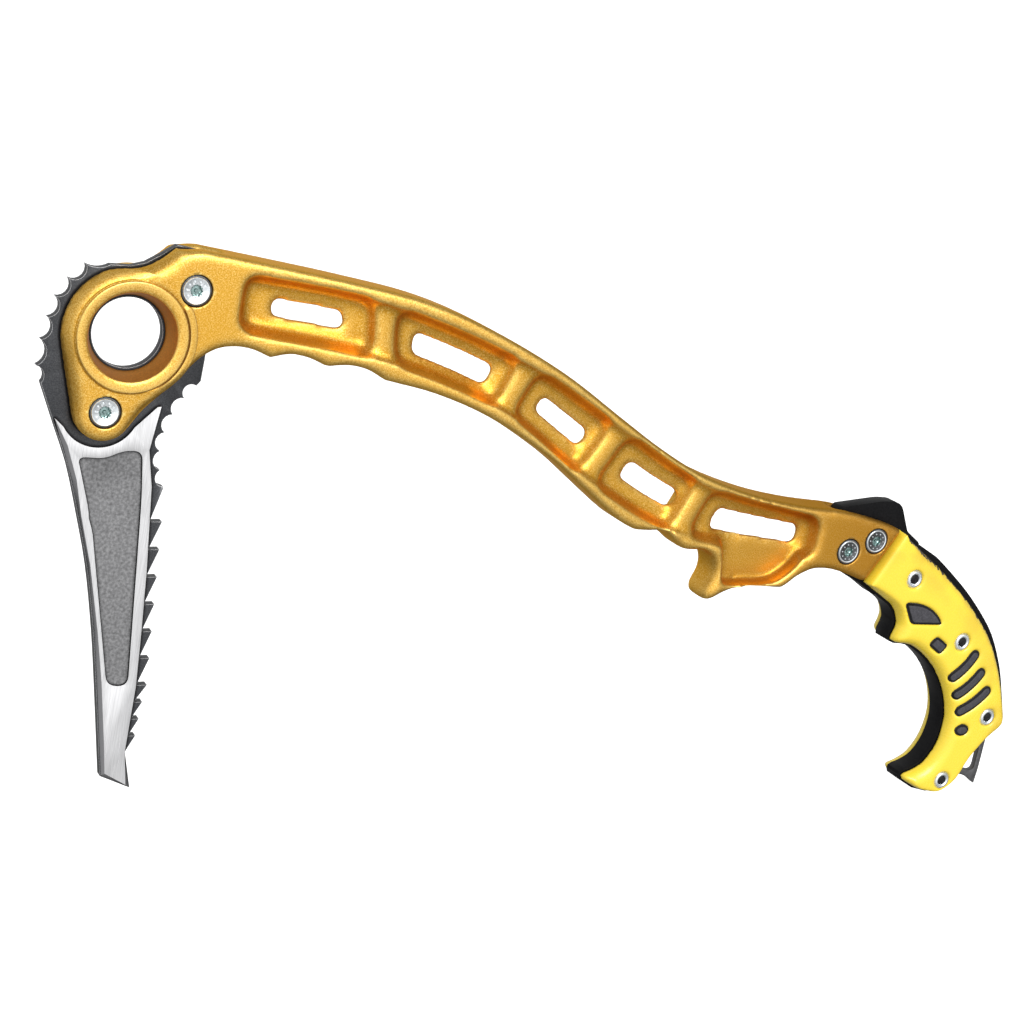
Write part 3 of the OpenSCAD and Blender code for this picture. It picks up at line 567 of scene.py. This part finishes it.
def place(bm, name, body, *mats):
    """New piece from a bmesh, on its body."""
    bmesh.ops.recalc_face_normals(bm, faces=bm.faces)
    obj = linked(name, mesh_of(bm, name))
    set_material(obj, *mats)
    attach(obj, body)
    return obj


def shaded_by_angle(obj, degrees):
    """Sharp edges where faces meet at more than the angle."""
    obj.data.set_sharp_from_angle(angle=math.radians(degrees))


def turned(bm, profile, centre, steps):
    """Spin a closed profile of (radius, y) about an axis along Y at (x, z)."""
    axis = Vector((centre[0] * MM, 0.0, centre[1] * MM))
    verts = [bm.verts.new(axis + Vector((r * MM, y * MM, 0.0))) for r, y in profile]
    edges = [bm.edges.new((a, b)) for a, b in zip(verts, verts[1:] + verts[:1])]
    bmesh.ops.spin(
        bm, geom=verts + edges, cent=axis, axis=(0.0, 1.0, 0.0), angle=math.tau, steps=steps,
        use_merge=True,
    )
    bmesh.ops.remove_doubles(bm, verts=bm.verts, dist=0.000002)


def merged_copy(node):
    """bmesh of a CAD node with its loose triangles joined."""
    bm = bmesh.new()
    bm.from_mesh(NODES[node].data)
    bmesh.ops.remove_doubles(bm, verts=bm.verts, dist=JOIN_GAP * MM)
    return bm


def bar_along_y(bm, centre, radius, low, high, segments=48):
    """Closed round bar along Y."""
    middle = Matrix.Translation((centre[0] * MM, (low + high) / 2 * MM, centre[1] * MM))
    bmesh.ops.create_cone(
        bm, cap_ends=True, segments=segments, radius1=radius * MM, radius2=radius * MM,
        depth=(high - low) * MM, matrix=middle @ Matrix.Rotation(math.pi / 2, 4, "X"),
    )


def evaluated(obj):
    """Mesh of the object with its modifiers applied."""
    graph = bpy.context.evaluated_depsgraph_get()
    return bpy.data.meshes.new_from_object(obj.evaluated_get(graph), depsgraph=graph)


def from_axis(co, centre):
    """Distance in millimetres from an axis along Y."""
    return math.hypot(co.x / MM - centre[0], co.z / MM - centre[1])


def smooth_share(value):
    """Value held between 0 and 1 and eased at both ends."""
    held = min(1.0, max(0.0, value))
    return held * held * (3.0 - 2.0 * held)


def beyond(value, level, fade):
    """Share that grows over a fade above a level."""
    return smooth_share((value - level) / fade)


def below(value, level, fade):
    """Share that grows over a fade below a level."""
    return smooth_share((level - value) / fade)


def stretch(value, start, rise, end, fall):
    """Share of a stretch that grows over the rise and ends after the fall."""
    return beyond(value, start, rise) * below(value, end, fall)


def within(value, limits):
    """Whether a length in metres lies between two limits in millimetres."""
    return limits[0] < value / MM < limits[1]


def outer_rim(bm, level, facing):
    """Points along the outer outline of the flat at a height that faces one way along Y."""
    level_gap = 0.05 * MM
    point_gap = 0.4 * MM

    def on_flat(face):
        off = face.calc_center_median().y - level * MM
        return face.normal.y * facing > 0.99 and abs(off) < level_gap

    left = {e for e in bm.edges if len({on_flat(f) for f in e.link_faces}) == 2}
    chains = []
    while left:
        chain = [left.pop()]
        for edge in chain:
            for other in edge.verts[0].link_edges[:] + edge.verts[1].link_edges[:]:
                if other in left:
                    left.discard(other)
                    chain.append(other)
        chains.append(chain)
    longest = max(chains, key=lambda c: sum(e.calc_length() for e in c))
    points = []
    for edge in longest:
        first, second = (v.co for v in edge.verts)
        parts = max(1, int(edge.calc_length() / point_gap))
        points += [first.lerp(second, k / parts) for k in range(parts)]
    return points


def node_rim(node, level, facing):
    """Search tree over the outline of a CAD node's flat, laid on the middle plane."""
    bm = merged_copy(node)
    points = outer_rim(bm, level, facing)
    bm.free()
    tree = kdtree.KDTree(len(points))
    for k, point in enumerate(points):
        tree.insert((point.x, 0.0, point.z), k)
    tree.balance()
    return tree


def nearest(tree, co):
    """Nearest point of an outline, and the gap to it in metres."""
    spot, _, gap = tree.find((co.x, 0.0, co.z))
    return spot, gap


def cheek_rim():
    """Outline of the near cheek's flat."""
    return node_rim("shaft", -CHEEK_Y, -1.0)


def grip_rim():
    """Outline of the near shell where it meets the core."""
    return node_rim("near_grip_shell", -GRIP_Y, 1.0)


def remeshed(obj, voxel):
    """Give the object an even voxel skin."""
    skin = obj.modifiers.new("skin", "REMESH")
    skin.mode = "VOXEL"
    skin.voxel_size = voxel
    obj.data = evaluated(obj)
    obj.modifiers.clear()


def rolled(gap, width, depth, top):
    """Height of a surface that rolls down over a width to an edge at the gap."""
    inner = 1.0 - min(1.0, gap / width)
    return top - depth + depth * math.sqrt(1.0 - inner * inner)


def grip_height(tree, co):
    """Height of the shells over a point, rolled down at the finger rest and the inner curve."""
    sizes = shape()
    spot, gap = nearest(tree, co)
    hook = below(from_axis(spot, HOOK), *HOOK_REACH)
    rest = below(from_axis(spot, FINGER_REST), *REST_REACH)
    share = max(hook, rest, 0.001)
    width, depth = share * sizes.grip_roll_width, share * sizes.grip_roll_depth
    return rolled(gap, width, depth, SHELL_Y * MM)


def thin_rim(co):
    """Share of the narrow rim below the pommel's pocket at a point."""
    return stretch(co.x / MM, *RIM_STRETCH) * below(co.z / MM, *RIM_TOP)


def lobe_share(co):
    """Share of the pommel's front lobe at a point."""
    return stretch(co.x / MM, *LOBE_STRETCH) * below(co.z / MM, *LOBE_TOP)


def cheek_height(tree, co):
    """Height of the rounded cheek over a point, and its share of the head's broad roll."""
    sizes = shape()
    spot, gap = nearest(tree, co)
    share = below(spot.x / MM, *ROLL_END) * beyond(spot.z / MM, *ROLL_FOOT)
    edge = sizes.flange_round * (1.0 - 0.6 * thin_rim(spot))
    edge += sizes.pommel_round * lobe_share(spot)
    width = edge + (sizes.roll_width - edge) * share
    depth = edge + (sizes.roll_depth - edge) * share
    return rolled(gap, width, depth, CHEEK_Y * MM), share


def held_below(co, height):
    """Move a point towards the middle plane until it lies within the height."""
    co.y = max(-height, min(height, co.y))


def eased(bm, verts, passes):
    """Smooth some of the points of a bmesh."""
    for _ in range(passes):
        bmesh.ops.smooth_vert(
            bm, verts=verts, factor=0.5, use_axis_x=True, use_axis_y=True, use_axis_z=True
        )


def drawn_below(obj, height, passes):
    """Draw a piece's points below a height given over each point, and ease the surface."""
    bm = bmesh.new()
    bm.from_mesh(obj.data)
    for v in bm.verts:
        held_below(v.co, height(v.co))
    eased(bm, bm.verts, passes)
    bm.to_mesh(obj.data)
    bm.free()


def forged_surface(obj, tree):
    """Ease the voxel skin, dish the pockets, and clear the room that the turned eye rings take."""
    step_outer, step_y = 26.4, 10.45
    ring_outer, ring_y = 22.3, 10.2
    ring_inner, web_y = 18.9, 2.4
    sizes = shape()
    bm = bmesh.new()
    bm.from_mesh(obj.data)
    eased(bm, bm.verts, sizes.forge_passes)
    walls = [v for v in bm.verts if within(abs(v.co.y), WALL_Y) and within(v.co.x, BEAM_X)]
    walls = [v for v in walls if nearest(tree, v.co)[1] > WALL_GAP * MM]
    eased(bm, [v for v in walls if thin_rim(v.co) < 0.5], sizes.dish_passes)
    pommel = [v for v in bm.verts if within(v.co.x, POMMEL_X) and v.co.z < POMMEL_TOP * MM]
    eased(bm, pommel, sizes.pommel_passes)
    flanges = [v for v in bm.verts if within(v.co.x, FLANGE_X) and abs(v.co.y) > FLANGE_Y * MM]
    eased(bm, [v for v in flanges if thin_rim(v.co) < 0.5], sizes.forge_passes)
    for v in bm.verts:
        r = from_axis(v.co, EYE)
        if r < step_outer:
            held_below(v.co, (ring_y if r < ring_outer else step_y) * MM)
        crest = sizes.crest_drop * stretch(v.co.x / MM, *CREST_STRETCH)
        v.co.z -= crest * beyond(v.co.z / MM, *CREST_FOOT)
        if r < ring_inner and abs(v.co.y) > web_y * MM:
            pushed = ring_inner / max(r, 1.0)
            v.co.x *= pushed
            v.co.z *= pushed
    bm.to_mesh(obj.data)
    bm.free()


def carve(obj, cutter):
    """Cut the shape in a bmesh out of a piece."""
    tool = place(cutter, "cutter", TOOL, "sand_gold")
    cut = obj.modifiers.new("cut", "BOOLEAN")
    cut.operation = "DIFFERENCE"
    cut.solver = "EXACT"
    cut.object = tool
    obj.data = evaluated(obj)
    obj.modifiers.clear()
    bpy.data.objects.remove(tool)


def cut_recesses(obj):
    """Sink the round bolt recesses into a piece, each with a narrow chamfer."""
    cutter = bmesh.new()
    mouth_r = RECESS_R + 0.45
    top = CHEEK_Y + 3.0
    for centres, floor in ((HEAD_BOLTS, HEAD_FLOOR), (TAIL_BOLTS, TAIL_FLOOR)):
        profile = (
            (0.0, floor), (RECESS_R, floor), (RECESS_R, CHEEK_Y - 0.2), (mouth_r, CHEEK_Y + 0.25),
            (mouth_r, top), (0.0, top),
        )
        for centre in centres:
            for side in (-1.0, 1.0):
                turned(cutter, [(r, side * y) for r, y in profile], centre, 72)
    carve(obj, cutter)


class ICETOOL_OT_shaft(bpy.types.Operator):
    """Forged shaft with rounded flanges, a rolled head and clean bolt recesses"""

    bl_idname = "ice_tool.shaft"
    bl_label = "Shaft"

    def execute(self, context):
        tree = cheek_rim()
        bm = merged_copy("shaft")
        plug_r, plug_floor = 6.7, 4.6
        for centre in HEAD_BOLTS + TAIL_BOLTS:
            for low, high in ((-CHEEK_Y, -plug_floor), (plug_floor, CHEEK_Y)):
                bar_along_y(bm, centre, plug_r, low, high)
        obj = place(bm, "forged_shaft", TOOL, "sand_gold")
        remeshed(obj, shape().voxel)
        drawn_below(obj, lambda co: cheek_height(tree, co)[0], 0)
        remeshed(obj, shape().voxel)
        forged_surface(obj, tree)
        cut_recesses(obj)
        set_material(obj, "sand_gold")
        shaded_by_angle(obj, 50.0)
        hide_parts("shaft")
        return {"FINISHED"}


class ICETOOL_OT_eye_rings(bpy.types.Operator):
    """Turned rings round the head eye, one on each side"""

    bl_idname = "ice_tool.eye_rings"
    bl_label = "Eye rings"

    def execute(self, context):
        profile = (
            (15.0, -2.3), (17.55, -10.6), (17.8, -11.0), (18.3, -11.25), (18.9, -11.38),
            (21.4, -11.7), (21.75, -11.6), (22.0, -11.25), (22.1, -10.75), (22.35, -10.6),
            (22.6, -10.75), (22.7, -11.0), (22.95, -11.15), (23.6, -11.15), (24.9, -11.1),
            (25.3, -11.0), (25.55, -10.6), (25.6, -9.8), (25.0, -2.6), (16.8, -2.6),
        )
        tree = cheek_rim()
        bore_r, groove_r = 17.6, 22.4
        lift, sink = 0.75, 0.12
        for name, side in (("near_eye_ring", 1.0), ("far_eye_ring", -1.0)):
            bm = bmesh.new()
            turned(bm, [(r, y * side) for r, y in profile], EYE, 144)
            for v in bm.verts:
                if from_axis(v.co, EYE) > groove_r:
                    height, share = cheek_height(tree, v.co)
                    held_below(v.co, height + (lift * (1.0 - share) - sink) * MM)
            for face in bm.faces:
                in_bore = from_axis(face.calc_center_median(), EYE) < bore_r
                face.material_index = 1 if in_bore else 0
            obj = place(bm, name, TOOL, "sand_gold", "bore_gold")
            cut_recesses(obj)
            shaded_by_angle(obj, 40.0)
        return {"FINISHED"}


def along(z, stations):
    """Value at a height, between stations that go down as (z, value)."""
    for (high, first), (low, last) in zip(stations, stations[1:]):
        if low <= z <= high:
            return first + (last - first) * (high - z) / (high - low)
    return 0.0


def blade_shift(x, z):
    """How far a corner of the raised blade lies further out than in the CAD model."""
    inside = x - along(z, BLADE_EDGE)
    if inside < EDGE_REACH:
        return along(z, EDGE_SHIFT)
    return along(z, PANEL_SHIFT) if inside < PANEL_REACH else 0.0


class ICETOOL_OT_pick(bpy.types.Operator):
    """Pick with broken edges, ground face and dark teeth"""

    bl_idname = "ice_tool.pick"
    bl_label = "Pick"

    def execute(self, context):
        bm = merged_copy("pick")
        for v in bm.verts:
            if abs(v.co.y) > RAISED_Y * MM:
                v.co.x -= blade_shift(v.co.x / MM, v.co.z / MM) * MM
        obj = place(bm, "toothed_pick", TOOL, "pick_steel")
        notch = bmesh.new()
        bar_along_y(notch, THROAT_NOTCH, NOTCH_R, -4.0, 4.0, 64)
        carve(obj, notch)
        set_material(obj, "pick_steel")
        break_edges(obj, shape().pick_edge)
        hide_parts("pick")
        return {"FINISHED"}


def bolt_face(bm, centre, outer_y, outward):
    """Turned bolt face with a raised rim, a six-lobed blind socket and a ring of small dots."""
    made = bmesh.new()
    profile = (
        (0.0, -0.7), (0.55, -0.75), (0.8, -1.4), (1.75, -1.5), (2.0, -1.35), (2.2, -0.2),
        (2.6, 0.0), (4.75, 0.0), (4.95, 0.12), (5.25, 0.12), (5.5, -0.15), (5.5, -0.5),
        (2.45, -0.5), (2.4, -1.8), (0.0, -1.8),
    )
    socket_r, rim_r = 2.35, 4.8
    lobed, lobe_depth = (1.0, 2.4), 0.10
    dots, dots_r, dot_r, dot_y = 10, 3.7, 0.34, 0.15
    turned(made, [(r, outward * (outer_y + y)) for r, y in profile], centre, 72)
    for v in made.verts:
        if lobed[0] < from_axis(v.co, centre) < lobed[1]:
            angle = math.atan2(v.co.z / MM - centre[1], v.co.x / MM - centre[0])
            lobe = lobe_depth * math.cos(6.0 * angle)
            v.co.x += (v.co.x - centre[0] * MM) * lobe
            v.co.z += (v.co.z - centre[1] * MM) * lobe
    for face in made.faces:
        r = from_axis(face.calc_center_median(), centre)
        face.material_index = 1 if r < socket_r else (2 if r < rim_r else 0)
    for k in range(dots):
        angle = math.tau * k / dots
        spot = (centre[0] + dots_r * math.cos(angle), centre[1] + dots_r * math.sin(angle))
        bar_along_y(made, spot, dot_r, outward * outer_y - dot_y, outward * outer_y + dot_y, 10)
    part = mesh_of(made, "bolt_face_part")
    bm.from_mesh(part)
    bpy.data.meshes.remove(part)


class ICETOOL_OT_bolts(bpy.types.Operator):
    """Bolts, sleeve nuts and bush, with turned faces on the heads"""

    bl_idname = "ice_tool.bolts"
    bl_label = "Bolts and nuts"

    def execute(self, context):
        for end in ("upper_pick", "lower_pick", "pivot", "clamp"):
            dress(end + "_bolt", "zinc_dark", shape().small_edge)
            dress(end + "_nut", "zinc_dark", shape().small_edge)
        dress("pivot_bush", "zinc", shape().small_edge)
        groups = (
            ("head_bolt_faces", HEAD_BOLTS, 9.95, "zinc"),
            ("tail_bolt_faces", TAIL_BOLTS, 10.45, "zinc_dark"),
        )
        for name, centres, outer_y, middle in groups:
            bm = bmesh.new()
            for centre in centres:
                for outward in (-1.0, 1.0):
                    bolt_face(bm, centre, outer_y, outward)
            obj = place(bm, name, TOOL, "zinc", "socket_steel", middle)
            shaded_by_angle(obj, 35.0)
        return {"FINISHED"}


class ICETOOL_OT_core(bpy.types.Operator):
    """Black handle core with softened edges"""

    bl_idname = "ice_tool.core"
    bl_label = "Handle core"

    def execute(self, context):
        dress("handle_core", "core_black", shape().core_edge)
        return {"FINISHED"}


def mark_wear(obj, tree):
    """Note on each point of a shell how near it lies to the worn back edge."""
    wear = obj.data.attributes.new("wear", "FLOAT", "POINT")
    for v, mark in zip(obj.data.vertices, wear.data):
        spot, gap = nearest(tree, v.co)
        back = beyond(from_axis(spot, BACK_ARC), *BACK_REACH)
        back *= beyond(spot.z / MM, *BACK_FOOT)
        off_x = SEAM_AWAY[0] * (spot.x / MM - SEAM_TOP[0])
        off_z = SEAM_AWAY[1] * (spot.z / MM - SEAM_TOP[1])
        clear = beyond(off_x + off_z, *SEAM_REACH)
        mark.value = back * clear * max(0.0, 1.0 - gap / (WEAR_WIDTH * MM))


class ICETOOL_OT_shells(bpy.types.Operator):
    """Glossy grip shells with a soft roll along the inner curve"""

    bl_idname = "ice_tool.shells"
    bl_label = "Grip shells"

    def execute(self, context):
        tree = grip_rim()
        for side in ("near", "far"):
            bm = merged_copy(side + "_grip_shell")
            obj = place(bm, side + "_moulded_shell", HANDLE, "grip_yellow")
            remeshed(obj, shape().shell_voxel)
            drawn_below(obj, lambda co: grip_height(tree, co), 0)
            remeshed(obj, shape().shell_voxel)
            drawn_below(obj, lambda co: SHELL_Y * MM, shape().mould_passes)
            mark_wear(obj, tree)
            set_material(obj, "grip_yellow")
            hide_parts(side + "_grip_shell")
        return {"FINISHED"}


class ICETOOL_OT_inlays(bpy.types.Operator):
    """Soft inlays in the shells, each with a dark lip round it that is partly rubber edge and
    partly painted shade of the gap
    """

    bl_idname = "ice_tool.inlays"
    bl_label = "Inlays"

    def execute(self, context):
        tree = grip_rim()
        rise, sink = 0.35, 0.2
        for side, outward in (("near", -1.0), ("far", 1.0)):
            bm = merged_copy(side + "_inlays")
            caps = [f for f in bm.faces if f.normal.y * outward > 0.9]
            lip = bmesh.ops.inset_region(
                bm, faces=caps, thickness=shape().inlay_lip, depth=rise * MM, use_boundary=True,
                use_even_offset=True,
            )["faces"]
            # The lip faces are partly rubber edge and partly painted shade of the gap
            for face in lip:
                face.material_index = 1
            for v in bm.verts:
                held_below(v.co, grip_height(tree, v.co) - sink * MM)
            obj = place(bm, side + "_inlay_pads", HANDLE, "inlay_grey", "lip_black")
            shaded_by_angle(obj, 40.0)
            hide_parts(side + "_inlays")
        return {"FINISHED"}


class ICETOOL_OT_screws(bpy.types.Operator):
    """Grip screws and their sleeve nuts, with dark discs on the heads as painted shade of the
    sockets
    """

    bl_idname = "ice_tool.screws"
    bl_label = "Grip screws"

    def execute(self, context):
        for k in range(1, len(SCREWS) + 1):
            dress("grip_screw_%d" % k, "zinc", 2.0 * shape().small_edge)
            dress("grip_nut_%d" % k, "zinc", 2.0 * shape().small_edge)
        profile = (
            (2.2, 0.2), (2.4, -0.1), (2.75, -0.55), (3.1, -0.7), (3.7, -0.65), (4.15, -0.4),
            (4.35, 0.0), (4.35, 0.3), (2.2, 0.3),
        )
        # Dark discs on the screw heads stand for the shade inside the sockets: painted shade
        hole_r, hole_y = 2.6, 0.12
        eyelets = bmesh.new()
        hole_shade_discs = bmesh.new()
        for centre in SCREWS:
            for outward in (1.0, -1.0):
                head_y = -SCREW_Y * outward
                turned(eyelets, [(r, head_y + y * outward) for r, y in profile], centre, 48)
                bar_along_y(hole_shade_discs, centre, hole_r, head_y - hole_y, head_y + hole_y)
        obj = place(eyelets, "screw_eyelets", HANDLE, "zinc")
        shaded_by_angle(obj, 60.0)
        obj = place(hole_shade_discs, "screw_holes", HANDLE, "dark_socket")
        return {"FINISHED"}


class ICETOOL_OT_spike(bpy.types.Operator):
    """Dark steel spike"""

    bl_idname = "ice_tool.spike"
    bl_label = "Spike"

    def execute(self, context):
        dress("spike", "spike_steel", shape().small_edge)
        return {"FINISHED"}


# Studio


def in_radians(degrees):
    """Angles in radians."""
    return tuple(math.radians(a) for a in degrees)


def studio_floor():
    """Wide pale floor that curves up far from the tool, and throws no light or shadow on it."""
    level = CAD_BOX[0][2] - HANDLE_ROOM
    bm = bmesh.new()
    verts = [bm.verts.new((r, 0.0, level + z)) for r, z in FLOOR_SWEEP]
    edges = [bm.edges.new(pair) for pair in zip(verts, verts[1:])]
    bmesh.ops.spin(
        bm, geom=verts + edges, cent=(0.0, 0.0, 0.0), axis=(0.0, 0.0, 1.0), angle=math.tau,
        steps=64, use_merge=True,
    )
    bmesh.ops.remove_doubles(bm, verts=bm.verts, dist=0.0001)
    floor = linked("floor", mesh_of(bm, "floor"))
    mat, shader = new_material("floor_pale")[:2]
    shader.inputs["Base Color"].default_value = rgba(finish().floor)
    shader.inputs["Roughness"].default_value = 0.9
    shader.inputs["Emission Color"].default_value = (1.0, 1.0, 1.0, 1.0)
    shader.inputs["Emission Strength"].default_value = 0.55
    floor.data.materials.append(mat)
    floor.data.shade_smooth()
    floor.visible_diffuse = False
    floor.visible_glossy = False
    floor.visible_shadow = False


def studio_world():
    """Soft white surroundings, brightest in front, dim on the right, above and below."""
    world = bpy.data.worlds.new("studio")
    world.use_nodes = True
    tree = world.node_tree
    background = tree.nodes["Background"]
    add = node_adder(tree)
    direction = add("ShaderNodeTexCoord").outputs["Generated"]
    split = add("ShaderNodeSeparateXYZ", {"Vector": direction})

    def graded(axis, low, high, first, last):
        ends = {"From Min": low, "From Max": high, "To Min": first, "To Max": last}
        ends["Value"] = split.outputs[axis]
        node = add("ShaderNodeMapRange", ends, interpolation_type="SMOOTHSTEP")
        return node.outputs["Result"]

    front = graded("Y", -0.95, 0.1, 1.4, 0.75)
    under = graded("Z", -0.75, 0.05, 0.38, 1.0)
    above = graded("Z", 0.25, 0.95, 1.0, 0.65)
    left = graded("X", -0.9, -0.1, 0.85, 1.0)
    right = graded("X", 0.25, 0.9, 1.0, 0.35)
    level = times(add, times(add, front, times(add, left, right)), times(add, under, above))
    tree.links.new(level, background.inputs["Strength"])
    background.inputs["Color"].default_value = (1.0, 1.0, 1.0, 1.0)
    return world


def studio_lights():
    """Soft square light in front, and a broad sun."""
    key = bpy.data.lights.new("key", "AREA")
    key.shape = "SQUARE"
    key.size = 0.6
    key.energy = 8.0
    lamp = linked("key", key)
    lamp.location = KEY_SPOT
    aim = Vector(KEY_TARGET) - Vector(KEY_SPOT)
    lamp.rotation_euler = aim.to_track_quat("-Z", "Y").to_euler()
    sun = bpy.data.lights.new("sun", "SUN")
    sun.energy = 1.2
    sun.angle = math.radians(50.0)
    linked("sun", sun).rotation_euler = in_radians(SUN_ANGLES)


def photo_camera():
    """Camera that looks as the photo's does."""
    data = bpy.data.cameras.new("photo_camera")
    data.sensor_width = 36.0
    data.lens = 69.5
    data.clip_end = 100.0
    camera = linked("photo_camera", data)
    camera.location = CAMERA_SPOT
    camera.rotation_euler = in_radians(CAMERA_ANGLES)
    return camera


class ICETOOL_OT_stage(bpy.types.Operator):
    """Pale floor, soft studio light and the camera"""

    bl_idname = "ice_tool.stage"
    bl_label = "Stage"

    def execute(self, context):
        context.scene.view_settings.view_transform = "Standard"
        studio_floor()
        context.scene.world = studio_world()
        studio_lights()
        context.scene.camera = photo_camera()
        return {"FINISHED"}


OPERATORS = (
    ICETOOL_OT_shaft,
    ICETOOL_OT_eye_rings,
    ICETOOL_OT_pick,
    ICETOOL_OT_bolts,
    ICETOOL_OT_core,
    ICETOOL_OT_shells,
    ICETOOL_OT_inlays,
    ICETOOL_OT_screws,
    ICETOOL_OT_spike,
    ICETOOL_OT_stage,
)


class ICETOOL_PT_panel(bpy.types.Panel):
    """Buttons for the tool's pieces"""

    bl_idname = "ICETOOL_PT_panel"
    bl_label = "Ice climbing tool"
    bl_space_type = "VIEW_3D"
    bl_region_type = "UI"
    bl_category = "Ice Tool"

    def draw(self, context):
        for settings in (context.scene.ice_tool_finish, context.scene.ice_tool_shape):
            for key in settings.__annotations__:
                self.layout.prop(settings, key)
        for operator in OPERATORS:
            self.layout.operator(operator.bl_idname)


CLASSES = (ToolFinish, ToolShape) + OPERATORS + (ICETOOL_PT_panel,)


def register():
    """Add the classes and the settings."""
    for cls in CLASSES:
        bpy.utils.register_class(cls)
    bpy.types.Scene.ice_tool_finish = PointerProperty(type=ToolFinish)
    bpy.types.Scene.ice_tool_shape = PointerProperty(type=ToolShape)


def unregister():
    """Remove the settings and the classes."""
    del bpy.types.Scene.ice_tool_shape
    del bpy.types.Scene.ice_tool_finish
    for cls in reversed(CLASSES):
        bpy.utils.unregister_class(cls)


def main():
    """Build every piece."""
    register()
    for operator in OPERATORS:
        group, name = operator.bl_idname.split(".")
        getattr(getattr(bpy.ops, group), name)()


if __name__ == "__main__":
    main()
